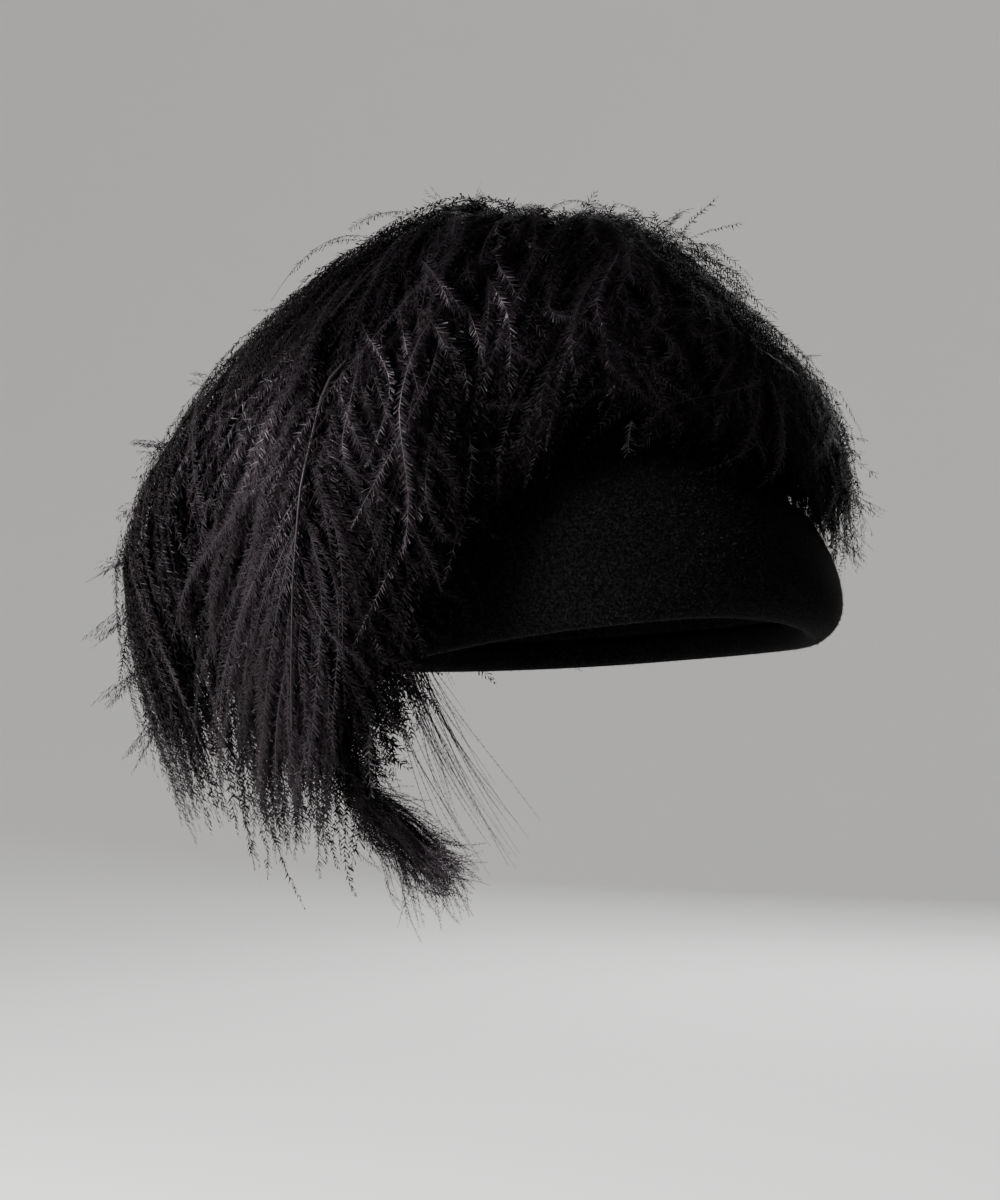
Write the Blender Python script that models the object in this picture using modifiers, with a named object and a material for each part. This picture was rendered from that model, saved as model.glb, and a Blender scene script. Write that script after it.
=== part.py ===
"""A black cocktail hat: a felt crown, a tall upturned felt cuff and a fountain of ostrich plumes.

Metres, +Z up. The hat faces -Y and the wearer's right is -X. The origin is the
middle of the head opening, level with the lower edge over the ears. An angle
round the hat is in degrees, 0 at the front, and grows towards the wearer's right.
A place on the hat is given as an angle, a radius from the upright axis and a height.
"""
import math
from collections import namedtuple

import bmesh
import bpy
from mathutils import Vector

# The head opening and the felt crown, a half egg of felt
OPENING_LENGTH = 0.192
OPENING_WIDTH = 0.166
CROWN_HEIGHT = 0.108
FELT = 0.002
SEAM_GAP = 0.0003

# The upturned cuff. Its leg stands against the head, between its fold and the crown
RIM_ARCH = 0.015
CUFF_HEIGHT = 0.087
CUFF_FLARE = 0.006
CUFF_STANDOFF = 0.030
CUFF_LEG = 0.006
FOLD_RADIUS = 0.006
FOLD_SWEEP = 130
FLARE_LEVEL = 0.19
WALL_FULLNESS = 0.6

# The plumes that spring from the top of the crown, their roots a little below its peak
ROOT_RADIUS = 0.011
ROOT_DROP = 0.0006
CREST_SPREAD = 0.065
PLUME_RISE = 0.080
PLUME_REACH = 0.096
PLUME_FALL = 0.290
PLUME_DEPTH = 0.036
CLIMB_OUT = 0.30
CLIMB_UP = 0.75

# How a lock's fullness grows from its root, how fast its plume deepens, and how it ends
ROOT_FULLNESS = 0.6
FULLNESS_GROWTH = 2.0
TIP_FULLNESS = 0.03
TIP_BLUNTNESS = 4
ROOT_DEPTH = 0.25
DEPTH_GROWTH = 1.0

# The plume that is sewn to the cuff and curls forward at the nape
NAPE_OUT = 0.020
NAPE_DROP = 0.125
NAPE_WIDTH = 0.024
NAPE_DEPTH = 0.012
NAPE_SEAT_GAP = 0.0010

# How finely the shapes are divided
CUFF_COLUMNS = 40
CUFF_FOLD_STEPS = 4
CUFF_WALL_STEPS = 3
CROWN_COLUMNS = 36
CROWN_ROWS = 8
PATH_STEPS = 48

# Rim height, cuff height, flare beyond the fold, and how far the top edge stands off the
# crown, as shares of RIM_ARCH, CUFF_HEIGHT, CUFF_FLARE and CUFF_STANDOFF, at angles round the
# hat
CuffRow = namedtuple("CuffRow", "angle rim height flare standoff")
CUFF_ROWS = (
    CuffRow(-140, -0.45, 0.33, 0.15, 0.12),
    CuffRow(-80, -0.05, 0.45, 0.60, 0.30),
    CuffRow(-40, 0.22, 0.60, 1.00, 0.40),
    CuffRow(-15, 0.57, 0.66, 1.00, 0.20),
    CuffRow(0, 0.83, 0.71, 1.00, 0.12),
    CuffRow(20, 1.00, 0.83, 0.90, 0.45),
    CuffRow(50, 0.75, 1.00, 0.65, 0.90),
    CuffRow(78, 0.35, 0.95, 0.50, 0.80),
    CuffRow(105, -0.10, 0.72, 0.35, 0.45),
    CuffRow(140, -0.43, 0.42, 0.15, 0.15),
    CuffRow(180, -0.53, 0.33, 0.10, 0.12),
)

# The outline of each plume that springs from the crown. It fills the sector of half_width
# degrees each side of angle. From its root it climbs to a crest (shares of CREST_SPREAD and
# PLUME_RISE), then falls over a shoulder and a bulge to its tip (each a share of PLUME_REACH
# beyond the cuff, and of PLUME_FALL below the highest crest). depth is a share of PLUME_DEPTH.
PlumeRow = namedtuple(
    "PlumeRow",
    "name angle half_width crest_out crest_up shoulder_out shoulder_down"
    " bulge_out bulge_down tip_out tip_down depth",
)
PLUME_ROWS = (
    PlumeRow("plume_front", 8, 19, 0.64, 0.93, -0.37, 0.11, -0.09, 0.24, -0.01, 0.38, 0.60),
    PlumeRow("plume_front_right", 48, 21, 0.73, 0.97, -0.25, 0.08, -0.02, 0.21, 0.03, 0.35, 0.60),
    PlumeRow("plume_right", 79, 10, 0.86, 1.00, -0.05, 0.09, 0.16, 0.28, 0.11, 0.60, 0.70),
    PlumeRow("plume_right_side", 106, 17, 0.97, 1.00, 0.31, 0.14, 0.75, 0.42, 0.55, 0.92, 0.95),
    PlumeRow("plume_back_right", 142, 19, 1.00, 1.00, 0.43, 0.18, 1.00, 0.49, 0.76, 0.86, 1.00),
    PlumeRow("plume_back", 182, 21, 0.97, 0.95, 0.29, 0.19, 0.81, 0.47, 0.62, 0.81, 1.00),
    PlumeRow("plume_back_left", 228, 25, 0.90, 0.93, 0.11, 0.16, 0.49, 0.40, 0.44, 0.67, 0.90),
    PlumeRow("plume_left", 278, 25, 0.78, 0.90, -0.13, 0.14, 0.20, 0.31, 0.20, 0.51, 0.80),
    PlumeRow("plume_front_left", 326, 23, 0.62, 0.90, -0.34, 0.15, -0.04, 0.29, 0.05, 0.46, 0.65),
)

# The locks of one plume, which all take their rings from the same even stations along it.
# start and end are stations; the lock's middle goes from from_side to to_side, and its half
# width is half, all shares of the plume's half width; sink is how deep its start lies under
# the surface, as a share of the plume's depth
LockRow = namedtuple("LockRow", "start end from_side to_side half sink")
SIDE_LOCKS = (
    LockRow(0, 7, 0.55, 0.80, 0.45, 0.05),
    LockRow(3, 10, 0.35, 0.78, 0.46, 0.25),
    LockRow(5, 12, 0.25, 0.62, 0.44, 0.25),
)
SHAFT_LOCK = LockRow(0, 12, 0.00, 0.00, 0.70, 0.00)

# The outer line of the plume at the nape: its angle, how far it stands out beyond the cuff
# (share of NAPE_OUT) and how far it is below the cuff's widest line (share of NAPE_DROP)
NapeRow = namedtuple("NapeRow", "angle out down")
NAPE_ROWS = (
    NapeRow(137, 0.00, 0.00),
    NapeRow(136, 0.04, 0.07),
    NapeRow(130, 0.70, 0.30),
    NapeRow(119, 0.80, 0.55),
    NapeRow(102, 0.45, 0.79),
    NapeRow(83, 0.10, 1.00),
)

# Six points round a lock: how far to the side and how far out, as shares
LENS = ((-1, 0), (-0.6, 1), (0.6, 1), (1, 0), (0.6, -1), (-0.6, -1))


def outward(angle):
    """The level direction from the axis at an angle."""
    turn = math.radians(angle)
    return Vector((-math.sin(turn), -math.cos(turn), 0))


def place(angle, radius, height):
    """The point at an angle, radius and height."""
    return outward(angle) * radius + Vector((0, 0, height))


def blend(before, start, end, after, share):
    """A smooth curve from start to end that also heeds the values before and after them."""
    slope_in = (end - before) / 2
    slope_out = (after - start) / 2
    square = share * share
    cube = square * share
    return (
        start * (2 * cube - 3 * square + 1)
        + slope_in * (cube - 2 * square + share)
        + end * (3 * square - 2 * cube)
        + slope_out * (cube - square)
    )


def round_the_hat(rows, column, angle):
    """A column of a table that goes round the hat, smoothly between its rows."""
    count = len(rows)
    for index, row in enumerate(rows):
        span = (rows[(index + 1) % count].angle - row.angle) % 360
        past = (angle - row.angle) % 360
        if past <= span:
            values = [getattr(rows[(index + step) % count], column) for step in (-1, 0, 1, 2)]
            return blend(*values, past / span)
    raise ValueError(angle)


def curve_points(start, control, end, steps):
    """Points on a quadratic curve, without its first."""
    points = []
    for step in range(1, steps + 1):
        share = step / steps
        rest = 1 - share
        points.append(start * rest * rest + control * 2 * rest * share + end * share * share)
    return points


def even_points(knots, steps):
    """Evenly spaced points on a smooth line through the knots."""
    ends = [knots[0] * 2 - knots[1]] + knots + [knots[-1] * 2 - knots[-2]]
    fine = []
    for index in range(len(knots) - 1):
        for step in range(steps):
            fine.append(blend(*ends[index:index + 4], step / steps))
    fine.append(knots[-1])
    lengths = [0.0]
    for start, end in zip(fine, fine[1:]):
        lengths.append(lengths[-1] + (end - start).length)
    points = []
    index = 0
    for step in range(steps + 1):
        wanted = lengths[-1] * step / steps
        while index < len(fine) - 2 and lengths[index + 1] < wanted:
            index += 1
        share = (wanted - lengths[index]) / (lengths[index + 1] - lengths[index])
        points.append(fine[index].lerp(fine[index + 1], share))
    return points


def along(points, share):
    """The point and the direction at a share of a line's length."""
    spot = share * (len(points) - 1)
    index = min(int(spot), len(points) - 2)
    start, end = points[index], points[index + 1]
    return start.lerp(end, spot - index), (end - start).normalized()


def opening_radius(angle):
    """How far the inside of the head opening is from the axis."""
    turn = math.radians(angle)
    return 1 / math.hypot(math.cos(turn) * 2 / OPENING_LENGTH, math.sin(turn) * 2 / OPENING_WIDTH)


def rim_height(angle):
    """The height of the cuff's lower edge."""
    return RIM_ARCH * round_the_hat(CUFF_ROWS, "rim", angle)


def cuff_height(angle):
    """How high the cuff stands above its lower edge."""
    return CUFF_HEIGHT * round_the_hat(CUFF_ROWS, "height", angle)


def cuff_widest(angle):
    """The cuff's widest line: how far beyond the head opening, and how far above the rim."""
    flare = CUFF_FLARE * round_the_hat(CUFF_ROWS, "flare", angle)
    return Vector((2 * FOLD_RADIUS + flare, FOLD_RADIUS + cuff_height(angle) * FLARE_LEVEL))


def crown_foot(angle):
    """The height of the crown's lower edge, which meets the leg of the cuff."""
    return rim_height(angle) + FOLD_RADIUS + CUFF_LEG + SEAM_GAP


def crown_radius(angle, height):
    """How far the outside of the crown is from the axis at a height."""
    foot = crown_foot(angle)
    climbed = min(1, max(0, (height - foot) / (CROWN_HEIGHT - foot)))
    return opening_radius(angle) * math.sqrt(1 - climbed * climbed) + FELT


def cuff_section(angle):
    """The outer skin of the cuff at an angle, as points (radius, height).

    It goes down the leg against the head, round the fold, out to the flare and up to the edge.
    """
    opening = opening_radius(angle)
    rim = rim_height(angle)
    height = cuff_height(angle)
    standoff = CUFF_STANDOFF * round_the_hat(CUFF_ROWS, "standoff", angle)
    widest = cuff_widest(angle)
    points = [Vector((0, FOLD_RADIUS + CUFF_LEG))]
    for step in range(CUFF_FOLD_STEPS + 1):
        turn = math.radians(180 + FOLD_SWEEP * step / CUFF_FOLD_STEPS)
        points.append(Vector((1 + math.cos(turn), 1 + math.sin(turn))) * FOLD_RADIUS)
    edge = Vector((crown_radius(angle, rim + height) + FELT + standoff - opening, height))
    below = Vector((widest.x, FOLD_RADIUS))
    above = Vector((widest.x, height * WALL_FULLNESS))
    points += curve_points(points[-1], below, widest, CUFF_WALL_STEPS)
    points += curve_points(widest, above, edge, CUFF_WALL_STEPS)
    return [Vector((opening + point.x, rim + point.y)) for point in points]


def crown_section(angle):
    """The inside of the crown at an angle, from its lower edge almost to the top."""
    opening = opening_radius(angle)
    foot = crown_foot(angle)
    points = []
    for step in range(CROWN_ROWS):
        turn = math.pi / 2 * step / CROWN_ROWS
        height = foot + (CROWN_HEIGHT - foot) * math.sin(turn)
        points.append(Vector((opening * math.cos(turn), height)))
    return points


def new_object(name, shape, collection):
    """A smoothly shaded object in a collection."""
    mesh = bpy.data.meshes.new(name)
    shape.to_mesh(mesh)
    shape.free()
    mesh.shade_smooth()
    item = bpy.data.objects.new(name, mesh)
    collection.objects.link(item)
    return item


def felt_wall(name, section, columns, apex, side, collection):
    """A felt wall round the hat: an open skin with a thickness to one side of it.

    apex, where there is one, closes the skin at the top.
    """
    shape = bmesh.new()
    rings = []
    for column in range(columns):
        angle = 360 * column / columns
        points = [place(angle, point.x, point.y) for point in section(angle)]
        rings.append([shape.verts.new(point) for point in points])
    top = shape.verts.new(apex) if apex else None
    for ring, following in zip(rings, rings[1:] + rings[:1]):
        for low in range(len(ring) - 1):
            shape.faces.new((ring[low], ring[low + 1], following[low + 1], following[low]))
        if top:
            shape.faces.new((ring[-1], top, following[-1]))
    item = new_object(name, shape, collection)
    wall = item.modifiers.new("felt thickness", "SOLIDIFY")
    wall.thickness = FELT
    wall.offset = side
    wall.use_even_offset = True
    return item


def make_crown(collection):
    """The hollow cap of felt, thickened outwards from the inside of the head opening."""
    apex = Vector((0, 0, CROWN_HEIGHT))
    return felt_wall("felt_crown", crown_section, CROWN_COLUMNS, apex, 1, collection)


def make_cuff(collection):
    """The upturned brim with its fold, thickened inwards from its outer skin."""
    return felt_wall("felt_cuff", cuff_section, CUFF_COLUMNS, None, -1, collection)


def plume_path(row):
    """The plume's outer line as evenly spaced points (radius, height), from root to tip."""
    skirt = opening_radius(row.angle) + 2 * FOLD_RADIUS + CUFF_FLARE
    top = CROWN_HEIGHT + PLUME_RISE
    root = Vector((ROOT_RADIUS, CROWN_HEIGHT + FELT - ROOT_DROP))
    crest = Vector((CREST_SPREAD * row.crest_out, CROWN_HEIGHT + PLUME_RISE * row.crest_up))
    climb = root + (crest - root) * Vector((CLIMB_OUT, CLIMB_UP))
    knots = [root, climb, crest]
    for out, down in (
        (row.shoulder_out, row.shoulder_down),
        (row.bulge_out, row.bulge_down),
        (row.tip_out, row.tip_down),
    ):
        knots.append(Vector((skirt + PLUME_REACH * out, top - PLUME_FALL * down)))
    return even_points(knots, PATH_STEPS)


def nape_path():
    """The outer line of the plume at the nape, from its seat on the cuff to its tip."""
    knots = []
    for row in NAPE_ROWS:
        widest = cuff_widest(row.angle)
        cuff = opening_radius(row.angle) + widest.x
        seat = cuff + NAPE_SEAT_GAP + NAPE_DEPTH * ROOT_FULLNESS
        height = rim_height(row.angle) + widest.y - NAPE_DROP * row.down
        knots.append(place(row.angle, seat + NAPE_OUT * row.out, height))
    return even_points(knots, PATH_STEPS)


def swell(share):
    """How full a lock is at a share of its length: full along the middle, thin at the tip."""
    taper = (1 - share ** TIP_BLUNTNESS) ** 0.8
    return min(1, ROOT_FULLNESS + share * FULLNESS_GROWTH) * max(TIP_FULLNESS, taper)


def lock_stations(lock, side):
    """At each station of a lock: shares along the plume, to the side, of fullness and of sink."""
    for station in range(lock.start, lock.end + 1):
        share = (station - lock.start) / (lock.end - lock.start)
        middle = side * (lock.from_side + (lock.to_side - lock.from_side) * share)
        yield station / SHAFT_LOCK.end, middle, swell(share), lock.sink * (1 - share)


def sector_lock(row, path, lock, side):
    """The rings of one lock, kept inside its plume's sector."""
    rings = []
    depth = PLUME_DEPTH * row.depth
    for on_plume, middle, fullness, sink in lock_stations(lock, side):
        spot, heading = along(path, on_plume)
        away = Vector((-heading.y, heading.x))
        half_depth = depth / 2 * fullness * min(1, ROOT_DEPTH + on_plume * DEPTH_GROWTH)
        ring = []
        for across, out in LENS:
            point = spot + away * (half_depth * (out - 1) - depth * sink)
            room = math.radians(row.half_width) - math.asin(SEAM_GAP / 2 / point.x)
            turned = max(-1, min(1, middle + across * lock.half * fullness)) * math.degrees(room)
            height = path[0].y if on_plume == 0 else point.y
            ring.append(place(row.angle + turned, point.x, height))
        rings.append(ring)
    return rings


def nape_lock(path, lock, side):
    """The rings of one lock of the plume at the nape."""
    rings = []
    for on_plume, middle, fullness, sink in lock_stations(lock, side):
        spot, heading = along(path, on_plume)
        away = Vector((spot.x, spot.y, 0))
        away = (away - heading * away.dot(heading)).normalized()
        aside = heading.cross(away) * NAPE_WIDTH / 2
        half_depth = NAPE_DEPTH / 2 * fullness
        ring = []
        for across, out in LENS:
            sunk = away * (half_depth * (out - 1) - NAPE_DEPTH * sink)
            ring.append(spot + aside * (middle + across * lock.half * fullness) + sunk)
        rings.append(ring)
    return rings


def lock_object(name, rings, collection):
    """A closed lock through its rings."""
    shape = bmesh.new()
    loops = [[shape.verts.new(point) for point in ring] for ring in rings]
    for loop, following in zip(loops, loops[1:]):
        for index, corner in enumerate(loop):
            after = (index + 1) % len(loop)
            shape.faces.new((corner, loop[after], following[after], following[index]))
    shape.faces.new(loops[0])
    shape.faces.new(loops[-1])
    bmesh.ops.recalc_face_normals(shape, faces=shape.faces)
    return new_object(name, shape, collection)


def fused_plume(name, lock_rings, collection, cutters):
    """One plume: its shaft lock, with the side locks joined to it."""
    plume = lock_object(name, lock_rings(SHAFT_LOCK, 1), collection)
    locks = bpy.data.collections.new(f"{name} locks")
    cutters.children.link(locks)
    for number, lock in enumerate(SIDE_LOCKS, 1):
        for side, side_name in ((-1, "a"), (1, "b")):
            cutter = lock_object(f"{name}_lock_{number}{side_name}", lock_rings(lock, side), locks)
            cutter.hide_render = True
            cutter.display_type = "WIRE"
    union = plume.modifiers.new("fuse the locks", "BOOLEAN")
    union.operation = "UNION"
    union.solver = "EXACT"
    union.operand_type = "COLLECTION"
    union.collection = locks
    return plume


def make_plume(row, collection, cutters):
    """A plume that springs from the top of the crown and fills its own sector."""
    path = plume_path(row)

    def lock_rings(lock, side):
        return sector_lock(row, path, lock, side)

    return fused_plume(row.name, lock_rings, collection, cutters)


def make_nape_plume(collection, cutters):
    """The low plume that is sewn to the cuff under the others and curls forward."""
    path = nape_path()

    def lock_rings(lock, side):
        return nape_lock(path, lock, side)

    return fused_plume("plume_nape", lock_rings, collection, cutters)


def finish(name, colour, roughness):
    """A plain finish."""
    material = bpy.data.materials.new(name)
    material.use_nodes = True
    shader = material.node_tree.nodes["Principled BSDF"]
    shader.inputs["Base Color"].default_value = (*colour, 1)
    shader.inputs["Roughness"].default_value = roughness
    shader.inputs["Metallic"].default_value = 0
    return material


def main():
    """The whole hat."""
    for item in list(bpy.data.objects):
        bpy.data.objects.remove(item)
    hat = bpy.data.collections.new("cocktail hat")
    cutters = bpy.data.collections.new("cutters")
    bpy.context.scene.collection.children.link(hat)
    bpy.context.scene.collection.children.link(cutters)

    felt = finish("black fur felt", (0.006, 0.006, 0.006), 0.95)
    feather = finish("black ostrich", (0.016, 0.014, 0.016), 0.6)
    pieces = [make_crown(hat), make_cuff(hat)]
    for piece in pieces:
        piece.data.materials.append(felt)
    plumes = [make_plume(row, hat, cutters) for row in PLUME_ROWS]
    plumes.append(make_nape_plume(hat, cutters))
    for plume in plumes:
        plume.data.materials.append(feather)


main()
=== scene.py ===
# %% [markdown]
# # A black cocktail hat with ostrich plumes
#
# The hat is a cap of black fur felt with a tall upturned cuff, and its crown is hidden
# under a fountain of black ostrich plumes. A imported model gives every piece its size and
# place. This lesson dresses that model: it gives the felt its nap and turns each solid
# plume into thousands of separate barbs.

import math
from collections import namedtuple

import bmesh
import bpy
import numpy as np
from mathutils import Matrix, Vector
from mathutils.bvhtree import BVHTree


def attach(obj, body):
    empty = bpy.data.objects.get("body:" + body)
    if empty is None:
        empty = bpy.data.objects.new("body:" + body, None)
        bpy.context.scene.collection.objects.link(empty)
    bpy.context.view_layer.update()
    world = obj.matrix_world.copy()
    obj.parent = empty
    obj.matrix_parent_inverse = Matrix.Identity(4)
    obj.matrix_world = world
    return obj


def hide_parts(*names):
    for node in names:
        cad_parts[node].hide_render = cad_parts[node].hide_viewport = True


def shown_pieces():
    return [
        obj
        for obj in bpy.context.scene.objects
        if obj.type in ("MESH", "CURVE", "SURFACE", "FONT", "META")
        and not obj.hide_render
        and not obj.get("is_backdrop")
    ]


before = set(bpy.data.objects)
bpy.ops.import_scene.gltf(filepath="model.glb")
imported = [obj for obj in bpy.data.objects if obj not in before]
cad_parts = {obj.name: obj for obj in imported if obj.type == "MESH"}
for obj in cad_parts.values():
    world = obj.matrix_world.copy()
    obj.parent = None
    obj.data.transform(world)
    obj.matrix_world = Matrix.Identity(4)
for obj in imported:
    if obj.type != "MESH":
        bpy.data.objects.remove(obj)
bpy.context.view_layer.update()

# %% [markdown]
# The hat faces -Y and the wearer's right is -X. Places on it are easiest to say as an
# angle round the upright axis, a radius and a height, so the first helper turns those
# three into a point. It takes arrays, because a plume has hundreds of barbs and a loop
# over each point would be slow.

# %% Places round the hat
UP = np.array((0.0, 0.0, 1.0))


def outward(angle):
    """Level directions from the axis, for angles in radians: 0 at the front, growing to the right."""
    return np.stack((-np.sin(angle), -np.cos(angle), np.zeros_like(angle)), axis=-1)


def place(angle, radius, height):
    """Points at angles, radii and heights."""
    return outward(angle) * radius[..., None] + UP * height[..., None]


def angle_of(points):
    """The angle round the hat of each point."""
    return np.arctan2(-points[..., 0], -points[..., 1])


def unit(vectors):
    """The vectors, each one long."""
    return vectors / np.maximum(np.linalg.norm(vectors, axis=-1, keepdims=True), 1e-12)


print("0.1 m to the wearer's right is", place(np.array(math.pi / 2), np.array(0.1), np.array(0.0)).round(3))

# %% [markdown]
# The camera stands where the photographer stood: well round to the wearer's right and
# level with the hat. The lens follows from the scale of the picture, and the point that
# it looks at follows from where the hat's origin lies in the picture. A camera is an
# object like any other, so the helper that puts objects into the scene comes first.

# %% The camera
PICTURE = (1000, 1200)
PIXELS_PER_METRE = 2300
ORIGIN_PIXEL = (590, 655)
CAMERA_AZIMUTH = math.radians(-52)
CAMERA_ELEVATION = math.radians(-1)
CAMERA_DISTANCE = 1.6
SENSOR = 36


def in_scene(name, data):
    """A new object with this data, linked to the scene."""
    made = bpy.data.objects.new(name, data)
    bpy.context.scene.collection.objects.link(made)
    return made


def direction_to(azimuth, elevation):
    """The direction from the hat to a place round it, for angles in radians from the front."""
    level = math.cos(elevation)
    return Vector((math.sin(azimuth) * level, -math.cos(azimuth) * level, math.sin(elevation)))


camera_data = bpy.data.cameras.new("camera")
camera = in_scene("camera", camera_data)
bpy.context.scene.camera = camera

toward_camera = direction_to(CAMERA_AZIMUTH, CAMERA_ELEVATION)
picture_right = Vector((math.cos(CAMERA_AZIMUTH), math.sin(CAMERA_AZIMUTH), 0))
target = picture_right * ((PICTURE[0] / 2 - ORIGIN_PIXEL[0]) / PIXELS_PER_METRE)
target.z = (ORIGIN_PIXEL[1] - PICTURE[1] / 2) / PIXELS_PER_METRE
camera.location = target + toward_camera * CAMERA_DISTANCE
camera.rotation_euler = toward_camera.to_track_quat("Z", "Y").to_euler()
camera_data.sensor_fit = "VERTICAL"
camera_data.sensor_height = SENSOR
camera_data.lens = SENSOR * CAMERA_DISTANCE * PIXELS_PER_METRE / PICTURE[1]
print("lens", round(camera_data.lens, 1), "mm at", tuple(round(value, 3) for value in camera.location))

# %% [markdown]
# The hat is held up in the air, as when it is worn, over a pale floor. The floor is a
# wide shallow bowl, turned from one profile: its flat middle catches a soft shadow and
# its rim rises smoothly out of sight, so no horizon crosses the picture.

# %% The floor
FLOOR_HEIGHT = -0.30
FLOOR_FLAT = 2.0
FLOOR_RISE = 3.0
FLOOR_TURNS = 96
RISE_STEPS = 16
WELD = 1e-5


def make_floor():
    """A seamless floor: flat in the middle, with a quarter circle rising all round it."""
    shape = bmesh.new()
    profile = [shape.verts.new((0, 0, FLOOR_HEIGHT)), shape.verts.new((FLOOR_FLAT, 0, FLOOR_HEIGHT))]
    for step in range(1, RISE_STEPS + 1):
        turn = math.pi / 2 * step / RISE_STEPS
        out = FLOOR_FLAT + FLOOR_RISE * math.sin(turn)
        profile.append(shape.verts.new((out, 0, FLOOR_HEIGHT + FLOOR_RISE * (1 - math.cos(turn)))))
    edges = [shape.edges.new(pair) for pair in zip(profile, profile[1:])]
    bmesh.ops.spin(
        shape, geom=profile + edges, cent=(0, 0, 0), axis=(0, 0, 1),
        angle=math.tau, steps=FLOOR_TURNS, use_merge=True,
    )
    bmesh.ops.remove_doubles(shape, verts=shape.verts, dist=WELD)
    bmesh.ops.recalc_face_normals(shape, faces=shape.faces)
    mesh = bpy.data.meshes.new("floor")
    shape.to_mesh(mesh)
    shape.free()
    mesh.shade_smooth()
    floor = in_scene("floor", mesh)
    floor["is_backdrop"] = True
    return floor


floor = make_floor()
floor_material = bpy.data.materials.new("pale floor")
floor_material.use_nodes = True
floor_shader = floor_material.node_tree.nodes["Principled BSDF"]
floor_shader.inputs["Base Color"].default_value = (0.80, 0.79, 0.78, 1)
floor_shader.inputs["Roughness"].default_value = 0.9
floor.data.materials.append(floor_material)
print("floor faces", len(floor.data.polygons))

# %% [markdown]
# Black feathers show their form only by the light that slides along the barbs, so the
# main light is a soft one low on the left of the picture, a little behind the hat. A weak
# one on the right and one behind keep the far side from going flat.

# %% The lights
# Azimuth round the hat from its front and elevation in degrees, distance and size in metres
Lamp = namedtuple("Lamp", "name azimuth elevation distance size watts colour")
LAMPS = (
    Lamp("main light", -116, 17, 1.7, 0.5, 134, (1.0, 0.98, 0.97)),
    Lamp("fill light", 5, 20, 2.2, 1.4, 5, (0.97, 0.98, 1.0)),
    Lamp("back light", 112, 20, 2.2, 1.4, 30, (1.0, 1.0, 1.0)),
)
LIT_POINT = Vector((0, 0, 0.05))
SKY_COLOUR = (0.90, 0.91, 0.93, 1)
SKY_STRENGTH = 0.31


def make_light(lamp):
    """A square soft light that faces the hat, placed by the direction it comes from."""
    data = bpy.data.lights.new(lamp.name, "AREA")
    data.size = lamp.size
    data.energy = lamp.watts
    data.color = lamp.colour
    made = in_scene(lamp.name, data)
    away = direction_to(math.radians(lamp.azimuth), math.radians(lamp.elevation))
    made.location = LIT_POINT + away * lamp.distance
    made.rotation_euler = away.to_track_quat("Z", "Y").to_euler()
    made.visible_camera = False


for lamp in LAMPS:
    make_light(lamp)

world = bpy.data.worlds.new("studio")
bpy.context.scene.world = world
world.use_nodes = True
sky = world.node_tree.nodes["Background"]
sky.inputs["Color"].default_value = SKY_COLOUR
sky.inputs["Strength"].default_value = SKY_STRENGTH
print("lights", [lamp.name for lamp in LAMPS])

# %% [markdown]
# Materials are built from nodes. These helpers make a material or a node group, and set
# a node's inputs and links in one call, which keeps the recipes below short.

# %% Node helpers
def node(tree, kind, inputs=None, **settings):
    """A node with its settings and inputs. An input that is a socket is linked, others are set."""
    made = tree.nodes.new(kind)
    for name, value in settings.items():
        setattr(made, name, value)
    for name, value in (inputs or {}).items():
        if isinstance(value, bpy.types.NodeSocket):
            tree.links.new(value, made.inputs[name])
        else:
            made.inputs[name].default_value = value
    return made


def node_group(name, inputs, outputs):
    """An empty shader node group with named sockets, and its input and output nodes."""
    group = bpy.data.node_groups.new(name, "ShaderNodeTree")
    for socket_name, kind, value in inputs:
        socket = group.interface.new_socket(socket_name, in_out="INPUT", socket_type=kind)
        socket.default_value = value
    for socket_name, kind in outputs:
        group.interface.new_socket(socket_name, in_out="OUTPUT", socket_type=kind)
    return group, group.nodes.new("NodeGroupInput"), group.nodes.new("NodeGroupOutput")


def new_material(name):
    """A material, its node tree and its shader."""
    material = bpy.data.materials.new(name)
    material.use_nodes = True
    return material, material.node_tree, material.node_tree.nodes["Principled BSDF"]


# %% [markdown]
# Fur felt is dyed in the piece, then brushed, so its surface is a mass of short fibres
# that part here and close there. One group makes that mottle at two sizes from noise. It
# gives a mask, which lightens the colour, and a height, which raises the fibres.

# %% The mottle group
mottle, given, result = node_group(
    "fibre mottle",
    [("Coarse Scale", "NodeSocketFloat", 260.0), ("Fine Scale", "NodeSocketFloat", 900.0)],
    [("Mask", "NodeSocketFloat"), ("Height", "NodeSocketFloat")],
)
where = node(mottle, "ShaderNodeTexCoord").outputs["Object"]
coarse = node(mottle, "ShaderNodeTexNoise", {
    "Vector": where, "Scale": given.outputs["Coarse Scale"], "Detail": 3.0, "Roughness": 0.6,
})
fine = node(mottle, "ShaderNodeTexNoise", {
    "Vector": where, "Scale": given.outputs["Fine Scale"], "Detail": 4.0, "Roughness": 0.7,
})
both = node(mottle, "ShaderNodeMath", {0: coarse.outputs["Fac"], 1: fine.outputs["Fac"]}, operation="ADD")
spread = node(mottle, "ShaderNodeMapRange", {"Value": both.outputs[0], "From Min": 0.93, "From Max": 1.14})
mottle.links.new(spread.outputs["Result"], result.inputs["Mask"])
mottle.links.new(both.outputs[0], result.inputs["Height"])
print("group", mottle.name, "has", len(mottle.nodes), "nodes")

# %% [markdown]
# The felt itself is nearly black and quite dull. What light it gives back comes from the
# tips of the nap, so the shader has sheen, and the mottle lightens the colour a little
# where the fibres stand up.

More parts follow.
